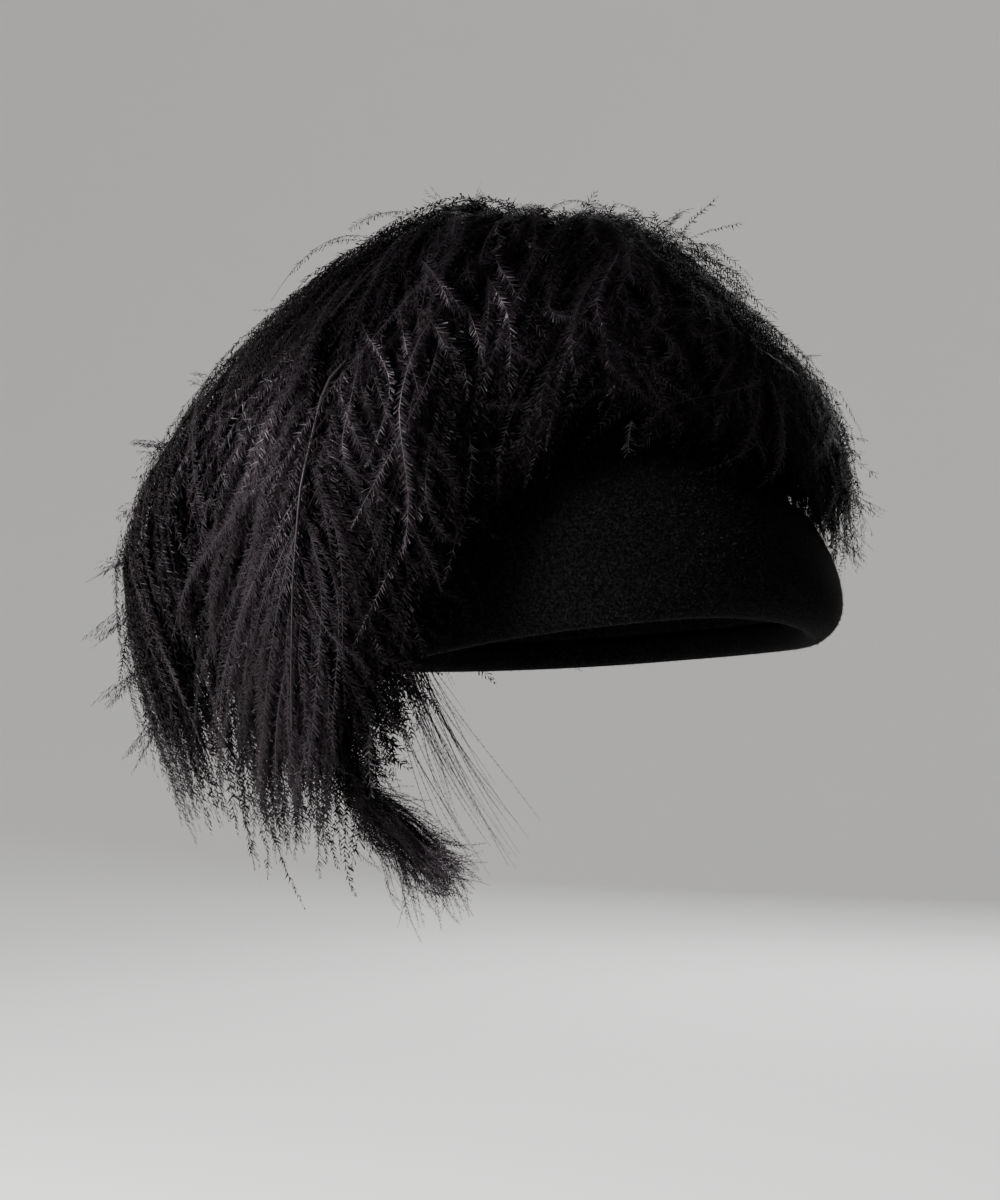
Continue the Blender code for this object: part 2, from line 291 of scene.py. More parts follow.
# %% The felt material
felt_material, felt_tree, felt_shader = new_material("black fur felt")
nap = node(felt_tree, "ShaderNodeGroup", {}, node_tree=mottle)
nap.inputs["Coarse Scale"].default_value = 800.0
nap.inputs["Fine Scale"].default_value = 2400.0
felt_colour = node(felt_tree, "ShaderNodeMix", {
    "Factor": nap.outputs["Mask"], "A": (0.0001, 0.0001, 0.0001, 1), "B": (0.0041, 0.0039, 0.0039, 1),
}, data_type="RGBA")
felt_bump = node(felt_tree, "ShaderNodeBump", {
    "Height": nap.outputs["Height"], "Strength": 0.7, "Distance": 0.0012,
})
felt_tree.links.new(felt_colour.outputs["Result"], felt_shader.inputs["Base Color"])
felt_tree.links.new(felt_bump.outputs["Normal"], felt_shader.inputs["Normal"])
felt_shader.inputs["Roughness"].default_value = 0.92
felt_shader.inputs["Specular IOR Level"].default_value = 0.02
felt_shader.inputs["Sheen Weight"].default_value = 0.003
felt_shader.inputs["Sheen Roughness"].default_value = 0.45
felt_shader.inputs["Sheen Tint"].default_value = (0.55, 0.52, 0.55, 1)
print("material", felt_material.name)

# %% [markdown]
# The fibres of the nap are separate shapes, added further on. They are paler than the
# felt, because a single fibre against the light looks lighter than the mass does.

# %% The nap material
nap_material, _, nap_shader = new_material("brushed nap")
nap_shader.inputs["Base Color"].default_value = (0.021, 0.0205, 0.0205, 1)
nap_shader.inputs["Roughness"].default_value = 0.7
nap_shader.inputs["Specular IOR Level"].default_value = 0.05
print("material", nap_material.name)

# %% [markdown]
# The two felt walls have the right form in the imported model, but with flat facets. Each
# is copied, its triangles are paired back into four-sided faces, and a Subdivision
# Surface rounds it, which also softens the cut edge as brushing does on real felt.

# %% The felt walls
SUBDIVISIONS = {"felt_crown": 1, "felt_cuff": 2}
PAIRING_ANGLE = math.radians(60)


def fine_wall(node_name, name):
    """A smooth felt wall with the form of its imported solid."""
    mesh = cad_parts[node_name].data.copy()
    mesh.name = name
    shape = bmesh.new()
    shape.from_mesh(mesh)
    bmesh.ops.remove_doubles(shape, verts=shape.verts, dist=WELD)
    bmesh.ops.join_triangles(
        shape, faces=shape.faces, angle_face_threshold=PAIRING_ANGLE, angle_shape_threshold=PAIRING_ANGLE,
    )
    shape.to_mesh(mesh)
    shape.free()
    mesh.materials.clear()
    mesh.materials.append(felt_material)
    mesh.shade_smooth()
    wall = in_scene(name, mesh)
    rounding = wall.modifiers.new("rounding", "SUBSURF")
    rounding.levels = SUBDIVISIONS[node_name]
    rounding.render_levels = SUBDIVISIONS[node_name]
    print(name, len(mesh.polygons), "faces before rounding")
    return wall


crown = fine_wall("felt_crown", "crown_felt")
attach(crown, "root")
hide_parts("felt_crown")

cuff = fine_wall("felt_cuff", "cuff_felt")
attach(cuff, "root")
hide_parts("felt_cuff")

# %% [markdown]
# Fibres and barbs are far too many to make one by one, so they are worked out as arrays.
# Points spread evenly over a surface come from picking triangles by their share of the
# area, and a mesh takes all of its points and triangles in one call.

# %% Points spread over a surface
def triangles_of(item):
    """The corners of each triangle of an object as it is shown, and each triangle's normal."""
    shown = item.evaluated_get(bpy.context.evaluated_depsgraph_get())
    mesh = shown.to_mesh()
    mesh.calc_loop_triangles()
    points = np.empty(len(mesh.vertices) * 3, np.float32)
    mesh.vertices.foreach_get("co", points)
    corners = np.empty(len(mesh.loop_triangles) * 3, np.int32)
    mesh.loop_triangles.foreach_get("vertices", corners)
    shown.to_mesh_clear()
    corners = points.reshape(-1, 3)[corners.reshape(-1, 3)].astype(float)
    return corners, unit(np.cross(corners[:, 1] - corners[:, 0], corners[:, 2] - corners[:, 0]))


def scattered(corners, normals, count, chance):
    """Random points on the triangles, evenly by area, with the normal at each."""
    areas = np.linalg.norm(np.cross(corners[:, 1] - corners[:, 0], corners[:, 2] - corners[:, 0]), axis=1)
    chosen = chance.choice(len(corners), count, p=areas / areas.sum())
    first, second = np.sqrt(chance.random(count)), chance.random(count)
    shares = np.stack((1 - first, first * (1 - second), first * second), axis=1)
    return (corners[chosen] * shares[..., None]).sum(axis=1), normals[chosen]


def mesh_from(name, points, faces):
    """A mesh from arrays of points and triangles."""
    mesh = bpy.data.meshes.new(name)
    mesh.vertices.add(len(points))
    mesh.vertices.foreach_set("co", points.astype(np.float32).ravel())
    mesh.loops.add(faces.size)
    mesh.loops.foreach_set("vertex_index", faces.astype(np.int32).ravel())
    mesh.polygons.add(len(faces))
    mesh.polygons.foreach_set("loop_start", np.arange(0, faces.size, 3, dtype=np.int32))
    mesh.update(calc_edges=True)
    return mesh


# %% [markdown]
# The nap shows most on the outline, where single fibres stand against the light. Each
# fibre is one thin triangle, rooted at a random point of the cuff and combed down along
# it. The faces that look inward hardly show, so they get none.

# %% The nap fibres
NAP_SEED = 11
NAP_FIBRES = 28000
NAP_LENGTH = 0.0011
NAP_LENGTHS = (0.5, 1.2)
NAP_WIDTH = 0.00013
NAP_LEAN = 0.9
NAP_SPREAD = 0.45
COMB_SPREAD = 0.8
INWARD_LIMIT = -0.35

nap_chance = np.random.default_rng(NAP_SEED)
felt_corners, felt_normals = triangles_of(cuff)
middles = felt_corners.mean(axis=1)
faces_out = (felt_normals * unit(middles * (1, 1, 0))).sum(axis=1) > INWARD_LIMIT
roots, away = scattered(felt_corners[faces_out], felt_normals[faces_out], NAP_FIBRES, nap_chance)
down_the_felt = -UP - away * (-UP * away).sum(axis=1, keepdims=True)
comb = unit(down_the_felt + nap_chance.normal(0, COMB_SPREAD, roots.shape))
lie = unit(away + comb * NAP_LEAN + nap_chance.normal(0, NAP_SPREAD, roots.shape))
across = unit(np.cross(lie, nap_chance.normal(0, 1, roots.shape)))
length = NAP_LENGTH * nap_chance.uniform(*NAP_LENGTHS, (NAP_FIBRES, 1))
nap_points = np.stack((
    roots - across * NAP_WIDTH / 2, roots + across * NAP_WIDTH / 2, roots + lie * length,
), axis=1).reshape(-1, 3)
fibres = in_scene("cuff_nap", mesh_from("cuff_nap", nap_points, np.arange(NAP_FIBRES * 3).reshape(-1, 3)))
fibres.data.materials.append(nap_material)
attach(fibres, "root")
print("nap fibres", NAP_FIBRES)

# %% [markdown]
# An ostrich plume is a bending shaft with long loose barbs on both sides, and each barb
# carries its own soft fringe of barbules. Black dye leaves the shafts a little lighter
# and browner than the fringe, and their colour is lighter still as a painted sheen: the
# pale line that light draws along a glossy shaft. The barbs are meshes, so their colour
# comes from numbers stored at their points: a tone for each barb, how far along the barb
# a point is, and how far out on its fringe.

# %% The barb colour group
barb_colour, given, result = node_group(
    "barb colour",
    [
        ("Tone", "NodeSocketFloat", 0.5),
        ("Fringe", "NodeSocketFloat", 0.5),
        ("Deep", "NodeSocketColor", (0.00015, 0.00012, 0.00015, 1)),
        ("Fringe Colour", "NodeSocketColor", (0.0092, 0.0072, 0.0088, 1)),
        # The shaft colour is partly the paler dyed shaft and partly painted sheen
        ("Shaft And Sheen Colour", "NodeSocketColor", (0.015, 0.0127, 0.0140, 1)),
    ],
    [("Colour", "NodeSocketColor"), ("Roughness", "NodeSocketFloat")],
)
on_fringe = node(barb_colour, "ShaderNodeMapRange", {"Value": given.outputs["Fringe"], "From Max": 0.25})
shaft_or_fringe = node(barb_colour, "ShaderNodeMix", {
    "Factor": on_fringe.outputs["Result"],
    "A": given.outputs["Shaft And Sheen Colour"],
    "B": given.outputs["Fringe Colour"],
}, data_type="RGBA")
# Low tones mix towards Deep, a near black: painted shade on deep or shaded barbs
colour_out = node(barb_colour, "ShaderNodeMix", {
    "Factor": given.outputs["Tone"], "A": given.outputs["Deep"], "B": shaft_or_fringe.outputs["Result"],
}, data_type="RGBA")
gloss = node(barb_colour, "ShaderNodeMapRange", {
    "Value": given.outputs["Tone"], "To Min": 0.60, "To Max": 0.38,
})
barb_colour.links.new(colour_out.outputs["Result"], result.inputs["Colour"])
barb_colour.links.new(gloss.outputs["Result"], result.inputs["Roughness"])
print("group", barb_colour.name, "has", len(barb_colour.nodes), "nodes")

# %% [markdown]
# Two materials share that group. The barbs on top catch the light, and those under them
# are duller, as in a real plume, where only the outer barbs are smooth. The numbers that
# are stored at the points reach the group through Attribute nodes.

# %% The plume materials
def feed_stored(tree, group, names):
    """Lead the numbers stored at the points to the inputs of a group node with the same names."""
    for name in names:
        stored = node(tree, "ShaderNodeAttribute", attribute_name=name, attribute_type="GEOMETRY")
        tree.links.new(stored.outputs["Fac"], group.inputs[name.title()])


def barb_material(name, specular):
    """A material whose colour follows the numbers stored at the points."""
    material, tree, shader = new_material(name)
    dyed = node(tree, "ShaderNodeGroup", node_tree=barb_colour)
    feed_stored(tree, dyed, ("tone", "fringe"))
    tree.links.new(dyed.outputs["Colour"], shader.inputs["Base Color"])
    tree.links.new(dyed.outputs["Roughness"], shader.inputs["Roughness"])
    shader.inputs["Specular IOR Level"].default_value = specular
    shader.inputs["Specular Tint"].default_value = (1.0, 0.86, 0.98, 1)
    print("material", name)
    return material


top_material = barb_material("black ostrich barbs", 0.09)
under_material = barb_material("black ostrich under barbs", 0.04)

# %% [markdown]
# Deep in a plume single barbules can no longer be told apart as shapes, only as a fine
# herringbone of light and dark. The barbs down there are plain folded bands, and their
# barbules are painted by the material: slanting strokes worked out from how far along
# the band and how far out from its ridge a point lies. Strokes and gaps are both kept
# near black, as painted shade deep in the plume.

# %% The painted barbules
painted, given, result = node_group(
    "painted barbules",
    [
        ("Tone", "NodeSocketFloat", 0.5),
        ("Fringe", "NodeSocketFloat", 0.5),
        ("Along", "NodeSocketFloat", 0.0),
        ("Pitch", "NodeSocketFloat", 0.0014),
        ("Lean", "NodeSocketFloat", 1.4),
        # Both colours are darker than on the barbs above: painted shade deep in the plume
        ("Deep", "NodeSocketColor", (0.0001, 0.0001, 0.0001, 1)),
        ("Fringe Colour", "NodeSocketColor", (0.0022, 0.0018, 0.0022, 1)),
    ],
    [("Colour", "NodeSocketColor")],
)
steps = node(painted, "ShaderNodeMath", {
    0: given.outputs["Along"], 1: given.outputs["Pitch"],
}, operation="DIVIDE")
leaning = node(painted, "ShaderNodeMath", {
    0: given.outputs["Fringe"], 1: given.outputs["Lean"],
}, operation="MULTIPLY")
phase = node(painted, "ShaderNodeMath", {0: steps.outputs[0], 1: leaning.outputs[0]}, operation="SUBTRACT")
wave = node(painted, "ShaderNodeMath", {0: phase.outputs[0], 1: 0.5}, operation="PINGPONG")
stroke = node(painted, "ShaderNodeMapRange", {"Value": wave.outputs[0], "From Min": 0.20, "From Max": 0.42})
strength = node(painted, "ShaderNodeMath", {
    0: stroke.outputs["Result"], 1: given.outputs["Tone"],
}, operation="MULTIPLY")
painted_colour = node(painted, "ShaderNodeMix", {
    "Factor": strength.outputs[0], "A": given.outputs["Deep"], "B": given.outputs["Fringe Colour"],
}, data_type="RGBA")
painted.links.new(painted_colour.outputs["Result"], result.inputs["Colour"])
print("group", painted.name, "has", len(painted.nodes), "nodes")

# %% The down material
deep_material, deep_tree, deep_shader = new_material("black ostrich down in painted shade")
strokes = node(deep_tree, "ShaderNodeGroup", node_tree=painted)
feed_stored(deep_tree, strokes, ("tone", "fringe", "along"))
deep_tree.links.new(strokes.outputs["Colour"], deep_shader.inputs["Base Color"])
deep_shader.inputs["Roughness"].default_value = 0.55
deep_shader.inputs["Specular IOR Level"].default_value = 0.02
print("material", deep_material.name)

# %% [markdown]
# Each packed plume is a fan of thick fused locks that fills a sector round the hat. Its
# outer line, from the root over the crest to the tip, gives the barbs their flow. The
# line is measured on the solid itself, with rays cast inwards in the middle of the
# sector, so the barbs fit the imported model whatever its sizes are.

# %% Reading a plume's outer line
# The rays aim at a centre, given as a radius and a height, and start well outside the hat
LINE_CENTRE = (0.030, 0.090)
LINE_TURNS = np.radians(np.arange(-60, 155, 2.5))
FAR = 0.5
LINE_POINTS = 64
LINE_SHARES = np.linspace(0, 1, LINE_POINTS)


def packed_tree(node_name):
    """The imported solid, ready for rays to be cast at it."""
    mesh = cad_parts[node_name].data
    corners = [vertex.co for vertex in mesh.vertices]
    return BVHTree.FromPolygons(corners, [face.vertices for face in mesh.polygons])


def packed_points(node_name):
    """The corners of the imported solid."""
    return np.array([vertex.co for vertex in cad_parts[node_name].data.vertices])


def evenly(points):
    """The length of a line, and its evenly spaced points."""
    lengths = np.concatenate(([0], np.cumsum(np.linalg.norm(np.diff(points, axis=0), axis=1))))
    wanted = LINE_SHARES * lengths[-1]
    return lengths[-1], np.stack([np.interp(wanted, lengths, column) for column in points.T], axis=1)


def slopes(points, reach=3):
    """The smoothed direction at each point of a line."""
    slope = np.gradient(points, axis=0)
    padded = np.pad(slope, ((reach, reach), (0, 0)), mode="edge")
    even = np.ones(2 * reach + 1) / (2 * reach + 1)
    return unit(np.stack([np.convolve(column, even, "valid") for column in padded.T], axis=1))


def sector_of(node_name):
    """The middle angle and half width of the sector that a packed plume fills."""
    points = packed_points(node_name)
    rough = float(angle_of(points.mean(axis=0)))
    turned = (angle_of(points) - rough + math.pi) % math.tau - math.pi
    return (rough + (turned.min() + turned.max()) / 2) % math.tau, (turned.max() - turned.min()) / 2


def outer_line(node_name, middle):
    """The length and points (radius, height) of a packed plume's outer line, from root to tip."""
    tree = packed_tree(node_name)
    side = Vector(outward(np.array(middle)))
    found = []
    for turn in LINE_TURNS:
        away = side * math.sin(turn) + Vector(UP) * math.cos(turn)
        start = side * LINE_CENTRE[0] + Vector(UP) * LINE_CENTRE[1] + away * FAR
        hit, _, _, depth = tree.ray_cast(start, -away)
        if hit and depth < FAR:
            found.append((hit.dot(side), hit.z))
    return evenly(np.array(found))


# %% [markdown]
# The lines of the nine plumes that spring from the crown are joined into one cover round
# the hat. Within a sector it keeps to that plume's own line, and near the next sector it
# passes smoothly over to the next line. Barbs that spread past their own sector follow
# the cover, so they lie on their neighbours as real ones do.

# %% The cover of the plumes
# How far the cover passes over on either side of a border, as a share of the way from one
# plume's middle to the next
HANDOVER = 0.55


class Cover:
    """The outer surface of the plumes, by angle, share along from root to tip, and depth below it."""

    def __init__(self, names):
        rows = sorted((*sector_of(name), name) for name in names)
        measured = [outer_line(name, middle) for middle, _, name in rows]
        self.names = [row[2] for row in rows]
        self.middles = np.array([row[0] for row in rows])
        self.halves = np.array([row[1] for row in rows])
        self.lengths = np.array([length for length, _ in measured])
        self.lines = np.stack([line for _, line in measured])
        self.slopes = np.stack([slopes(line) for _, line in measured])
        self.spans = (np.roll(self.middles, -1) - self.middles) % math.tau
        self.borders = self.halves / (self.halves + np.roll(self.halves, -1))

    def neighbours(self, angle):
        """The plume before and after each angle, and how far the cover has passed to the later."""
        turned = (angle[..., None] - self.middles) % math.tau
        before = np.argmin(turned, axis=-1)
        past = np.take_along_axis(turned, before[..., None], axis=-1)[..., 0] / self.spans[before]
        passed = np.clip(0.5 + (past - self.borders[before]) / (2 * HANDOVER), 0, 1)
        return before, (before + 1) % len(self.middles), passed * passed * (3 - 2 * passed)

    def read(self, fields, share, angle):
        """The cover's values at shares along and angles round."""
        before, after, passed = self.neighbours(angle)
        spot = np.clip(share, 0, 1) * (LINE_POINTS - 1)
        low = np.minimum(spot.astype(int), LINE_POINTS - 2)
        part = (spot - low)[..., None]
        first = fields[before, low] * (1 - part) + fields[before, low + 1] * part
        second = fields[after, low] * (1 - part) + fields[after, low + 1] * part
        return first * (1 - passed[..., None]) + second * passed[..., None]

    def at(self, share, angle, depth):
        """Points and outward directions. Past the tip the cover goes straight on."""
        slope = unit(self.read(self.slopes, share, angle))
        point = self.read(self.lines, share, angle)
        before, after, passed = self.neighbours(angle)
        length = self.lengths[before] * (1 - passed) + self.lengths[after] * passed
        point = point + slope * (np.maximum(share - 1, 0) * length)[..., None]
        away = np.stack((-slope[..., 1], slope[..., 0]), axis=-1)
        point = point - away * depth[..., None]
        return place(angle, point[..., 0], point[..., 1]), outward(angle) * away[..., :1] + UP * away[..., 1:]


cover = Cover([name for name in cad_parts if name.startswith("plume_") and name != "plume_nape"])
for name, middle, half, line in zip(cover.names, cover.middles, cover.halves, cover.lines):
    print(name, "at", round(math.degrees(middle)), "+-", round(math.degrees(half)), "degrees, tip at radius",
          round(line[-1, 0] * 1000), "and height", round(line[-1, 1] * 1000), "mm")

# %% [markdown]
# A feather's lines are first worked out in its plume's own terms: share along, share of
# the half width across, and depth. The first class turns these into points for the
# plumes that spring from the crown, whose barbs lie on the cover.

# %% A plume on the crown
# Where the first barbs leave the shaft, as a share of a plume's length
FIRST_BARB = 0.10

# How far the shoulder of a plume lies below its packed outline, in metres
SINKS = {"plume_front_left": 0.020, "plume_left": 0.012, "plume_front": 0.008}
LEAST_RADIUS = 0.02


class CrownPlume:
    """One of the plumes that spring from the crown."""

    def __init__(self, node_name):
        self.sink, self.first = SINKS.get(node_name, 0.0), FIRST_BARB
        index = cover.names.index(node_name)
        self.middle, self.half, self.length = cover.middles[index], cover.halves[index], cover.lengths[index]

    def side_width(self, share):
        """How many metres one unit to the side is."""
        radius = cover.read(cover.lines, share, np.full_like(share, self.middle))[..., 0]
        return self.half * np.maximum(radius, LEAST_RADIUS)

    def at(self, share, side, depth):
        """Points and outward directions at shares along, across and depths below the cover."""
        return cover.at(share, self.middle + side * self.half, depth)


print("plumes on the crown", len(cover.names))

# %% [markdown]
# The plume at the nape bends round the hat and has no outline on the cover. Its middle
# line is measured level by level instead, and its width across that line. Its shaft
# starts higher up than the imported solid, hidden by the big plume.

# %% The plume at the nape
LEVELS = 13
LEVEL_REACH = 0.002
FIRST_NAPE_BARB = -0.35


def frame_width(points, line, slope, away):
    """The lowest and highest place of points across a bent line, at the middle of the line."""
    nearest = np.argmin(np.linalg.norm(points[:, None] - line[None], axis=2), axis=1)
    across = ((points - line[nearest]) * np.cross(slope, away)[nearest]).sum(axis=1)
    middle = (nearest > LINE_POINTS // 4) & (nearest < LINE_POINTS * 3 // 4)
    return across[middle].min(), across[middle].max()


class NapePlume:
    """The plume at the nape, with a middle line that is measured level by level."""

    def __init__(self, node_name):
        points = packed_points(node_name)
        levels = np.linspace(points[:, 2].max(), points[:, 2].min(), LEVELS)
        middles = [
            points[(points[:, 2] <= high + LEVEL_REACH) & (points[:, 2] >= low - LEVEL_REACH)].mean(axis=0)
            for high, low in zip(levels, levels[1:])
        ]
        self.sink, self.first = 0.0, FIRST_NAPE_BARB
        self.length, self.line = evenly(np.array(middles))
        self.slope = slopes(self.line)
        level = unit(self.line * (1, 1, 0))
        self.away = unit(level - self.slope * (level * self.slope).sum(axis=1, keepdims=True))
        low, high = frame_width(points, self.line, self.slope, self.away)
        self.half = (high - low) / 2

    def side_width(self, share):
        """How many metres one unit to the side is."""
        return np.full_like(share, self.half)

    def at(self, share, side, depth):
        """Points and outward directions at shares along, across and depths below the middle line."""
        slope, away, point = (
            np.stack([np.interp(share, LINE_SHARES, column) for column in field.T], axis=-1)
            for field in (self.slope, self.away, self.line)
        )
        slope, away = unit(slope), unit(away)
        past_end = np.maximum(share - 1, 0) + np.minimum(share, 0)
        point = point + slope * (past_end * self.length)[..., None]
        return point + np.cross(slope, away) * (side * self.half)[..., None] - away * depth[..., None], away


plumes = {name: CrownPlume(name) for name in cover.names}
plumes["plume_nape"] = NapePlume("plume_nape")
print("nape plume", round(plumes["plume_nape"].length * 1000), "mm long,",
      round(plumes["plume_nape"].half * 2000), "mm wide")

# %% [markdown]
# Barbs lie over the felt and never run through it, nor through the hollow inside it. A
# chart of the felt's outer radius, at steps round the hat and up it, is measured once
# with rays. Above the cuff's edge the chart slopes back to the crown, so that a barb
# slides over the edge without a kink.

# %% A chart of the felt's outside
CHART_ANGLES = 120
CHART_HEIGHTS = np.linspace(-0.16, 0.115, 111)
EDGE_SLOPE = 0.7
CLEARANCE = 0.0012


def felt_chart():
    """The felt's outer radius by angle and height. Below the rim it stays as wide as the rim."""
    trees = [packed_tree(name) for name in ("felt_crown", "felt_cuff")]
    chart = np.zeros((CHART_ANGLES, len(CHART_HEIGHTS)))
    for column in range(CHART_ANGLES):
        side = Vector(outward(np.array(math.tau * column / CHART_ANGLES)))
        for row, height in enumerate(CHART_HEIGHTS):
            start = side * FAR + Vector((0, 0, height))
            for tree in trees:
                hit = tree.ray_cast(start, -side)[0]
                if hit and hit.dot(side) > 0:
                    chart[column, row] = max(chart[column, row], hit.dot(side))
        lowest = int(np.argmax(chart[column] > 0))
        chart[column, :lowest] = chart[column, lowest]
        for row in range(lowest + 1, len(CHART_HEIGHTS)):
            step = CHART_HEIGHTS[row] - CHART_HEIGHTS[row - 1]
            chart[column, row] = max(chart[column, row], chart[column, row - 1] - step / EDGE_SLOPE)
    return chart


felt_outside = felt_chart()


def clear_of_felt(points):
    """The points, with those inside the felt or its hollow moved out of it."""
    turn = (angle_of(points) / math.tau * CHART_ANGLES) % CHART_ANGLES
    column = turn.astype(int) % CHART_ANGLES
    share = turn - np.floor(turn)
    step = CHART_HEIGHTS[1] - CHART_HEIGHTS[0]
    level = np.clip((points[..., 2] - CHART_HEIGHTS[0]) / step, 0, len(CHART_HEIGHTS) - 1)
    row = np.minimum(level.astype(int), len(CHART_HEIGHTS) - 2)
    up = level - row
    after = (column + 1) % CHART_ANGLES
    low = felt_outside[column, row] * (1 - share) + felt_outside[after, row] * share
    high = felt_outside[column, row + 1] * (1 - share) + felt_outside[after, row + 1] * share
    least = low * (1 - up) + high * up + CLEARANCE
    least = np.where(points[..., 2] > CHART_HEIGHTS[-1], 0, least)
    radius = np.linalg.norm(points[..., :2], axis=-1)
    pushed = np.maximum(radius, least)
    moved = points.copy()
    moved[..., :2] *= (pushed / np.maximum(radius, 1e-9))[..., None]
    return moved


print("felt radius from", round(felt_outside.min() * 1000), "to", round(felt_outside.max() * 1000), "mm")

# %% [markdown]
# One barb is a narrow ribbon for its own shaft, with a row of thin triangles down each
# side for the fringe. The triangles sweep towards the tip, as barbules do, and each is
# turned a little about the barb so that the fringe is round and soft rather than flat.
# The kinds of fringe go from full and glossy on top to fine and sparse on loose barbs.

# %% The kinds of fringe
# Spacing, width and length of the barbules, how far they sweep and roll in radians, and
# the width of the barb's own shaft. Lengths are in metres
Fringe = namedtuple("Fringe", "pitch width length sweep roll ribbon")
TOP_FRINGE = Fringe(0.0011, 0.00066, 0.0042, math.radians(57), 0.26, 0.00042)
MASS_FRINGE = Fringe(0.0016, 0.00085, 0.0038, math.radians(55), 0.30, 0.00040)
UNDER_FRINGE = Fringe(0.0018, 0.00115, 0.0040, math.radians(54), 0.38, 0.00040)
FINE_FRINGE = Fringe(0.0014, 0.00050, 0.0024, math.radians(42), 0.50, 0.00040)
BARE_FRINGE = Fringe(0.0022, 0.00045, 0.0014, math.radians(35), 0.60, 0.00034)
print("barbules to the centimetre on top", round(0.01 / TOP_FRINGE.pitch))

# %% [markdown]
# A plume is gathered from many barbs into one mesh, which keeps the scene quick. The
# mesh stores three numbers at each point for the materials, and each triangle takes one
# of three finishes: glossy top barbs, painted down, or dull under barbs.

# %% Gathering a piece
FINISHES = (top_material, deep_material, under_material)
TOP_FINISH, DOWN_FINISH, UNDER_FINISH = range(len(FINISHES))
STORED = ("tone", "fringe", "along")


class Gathered:
    """Points, triangles, stored numbers and finishes of a mesh as it grows."""

    def __init__(self):
        self.points, self.faces, self.numbers, self.finishes, self.total = [], [], [], [], 0

    def add(self, points, faces, tone, fringe, finish=TOP_FINISH, along=0.0):
        """More points, with triangles that count from the first of them."""
        self.points.append(points)
        self.faces.append(faces + self.total)
        self.numbers.append(np.stack((tone, fringe, np.broadcast_to(along, tone.shape)), axis=1))
        self.finishes.append(np.full(len(faces), finish))
        self.total += len(points)

    def piece(self, name):
        """The object, with its numbers stored at the points."""
        mesh = mesh_from(name, np.concatenate(self.points), np.concatenate(self.faces))
        numbers = np.concatenate(self.numbers).astype(np.float32)
        for column, stored_name in enumerate(STORED):
            attribute = mesh.attributes.new(stored_name, "FLOAT", "POINT")
            attribute.data.foreach_set("value", np.ascontiguousarray(numbers[:, column]))
        for material in FINISHES:
            mesh.materials.append(material)
        mesh.polygons.foreach_set("material_index", np.concatenate(self.finishes).astype(np.int32))
        made = in_scene(name, mesh)
        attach(made, "root")
        print(name, len(mesh.polygons), "triangles")
        return made


# %% [markdown]
# The ribbons come first. Every line of a barb has the same number of stations, so one
# array holds the lines of all the barbs of a feather, and a whole feather's ribbons are
# made at once. A ribbon lies across the outward direction and tapers to the barb's tip.

# %% The barbs' own shafts
STATIONS = 14
RIBBON_TAPER = 0.75

along_barb = np.linspace(0, 1, STATIONS)


def frames_along(paths, normals):
    """The direction along each path, and the sideways and outward directions square to it."""
    heading = unit(np.gradient(paths, axis=1))
    aside = unit(np.cross(heading, normals))
    return heading, aside, np.cross(aside, heading)


def add_ribbons(mesh, paths, aside, width, tone, finish):
    """A flat tapering ribbon along each path, for the shafts of the barbs."""
    taper = (1 - RIBBON_TAPER * along_barb ** 2)[None, :, None] * width[:, None, None] / 2
    points = np.stack((paths - aside * taper, paths + aside * taper), axis=2).reshape(-1, 3)
    first = (np.arange(len(paths))[:, None] * STATIONS + np.arange(STATIONS - 1)[None, :]).ravel() * 2
    faces = np.concatenate((
        np.stack((first, first + 2, first + 3), axis=1), np.stack((first, first + 3, first + 1), axis=1),
    ))
    mesh.add(points, faces, np.repeat(tone, STATIONS * 2), np.zeros(len(points)), finish)


# %% [markdown]
# Then the barbules, a row to each hand of every barb. They are short at the barb's root,
# shorten again and lean forward near its tip, sag a little, and differ in length, sweep
# and tone. Some are turned round, broad end outward, which keeps the fringe from looking
# like the teeth of a comb.

# %% The barbules
# Shares of a barb over which the fringe grows in and tapers off, and its length at the ends
ROOT_TAPER = 0.06
ROOT_FRINGE = 0.25
TIP_TAPER = 0.16
TIP_FRINGE = 0.40
TIP_LEAN = 0.45
BLUNT_SHARE = 0.22
SAG = 0.10
CUP = -0.15
BARBULE_PLACES = (0.3, 0.7)
BARBULE_SWEEPS = (0.8, 1.15)
BARBULE_LENGTHS = (0.75, 1.15)
BARBULE_TONES = 0.12
FRINGE_START = 0.15


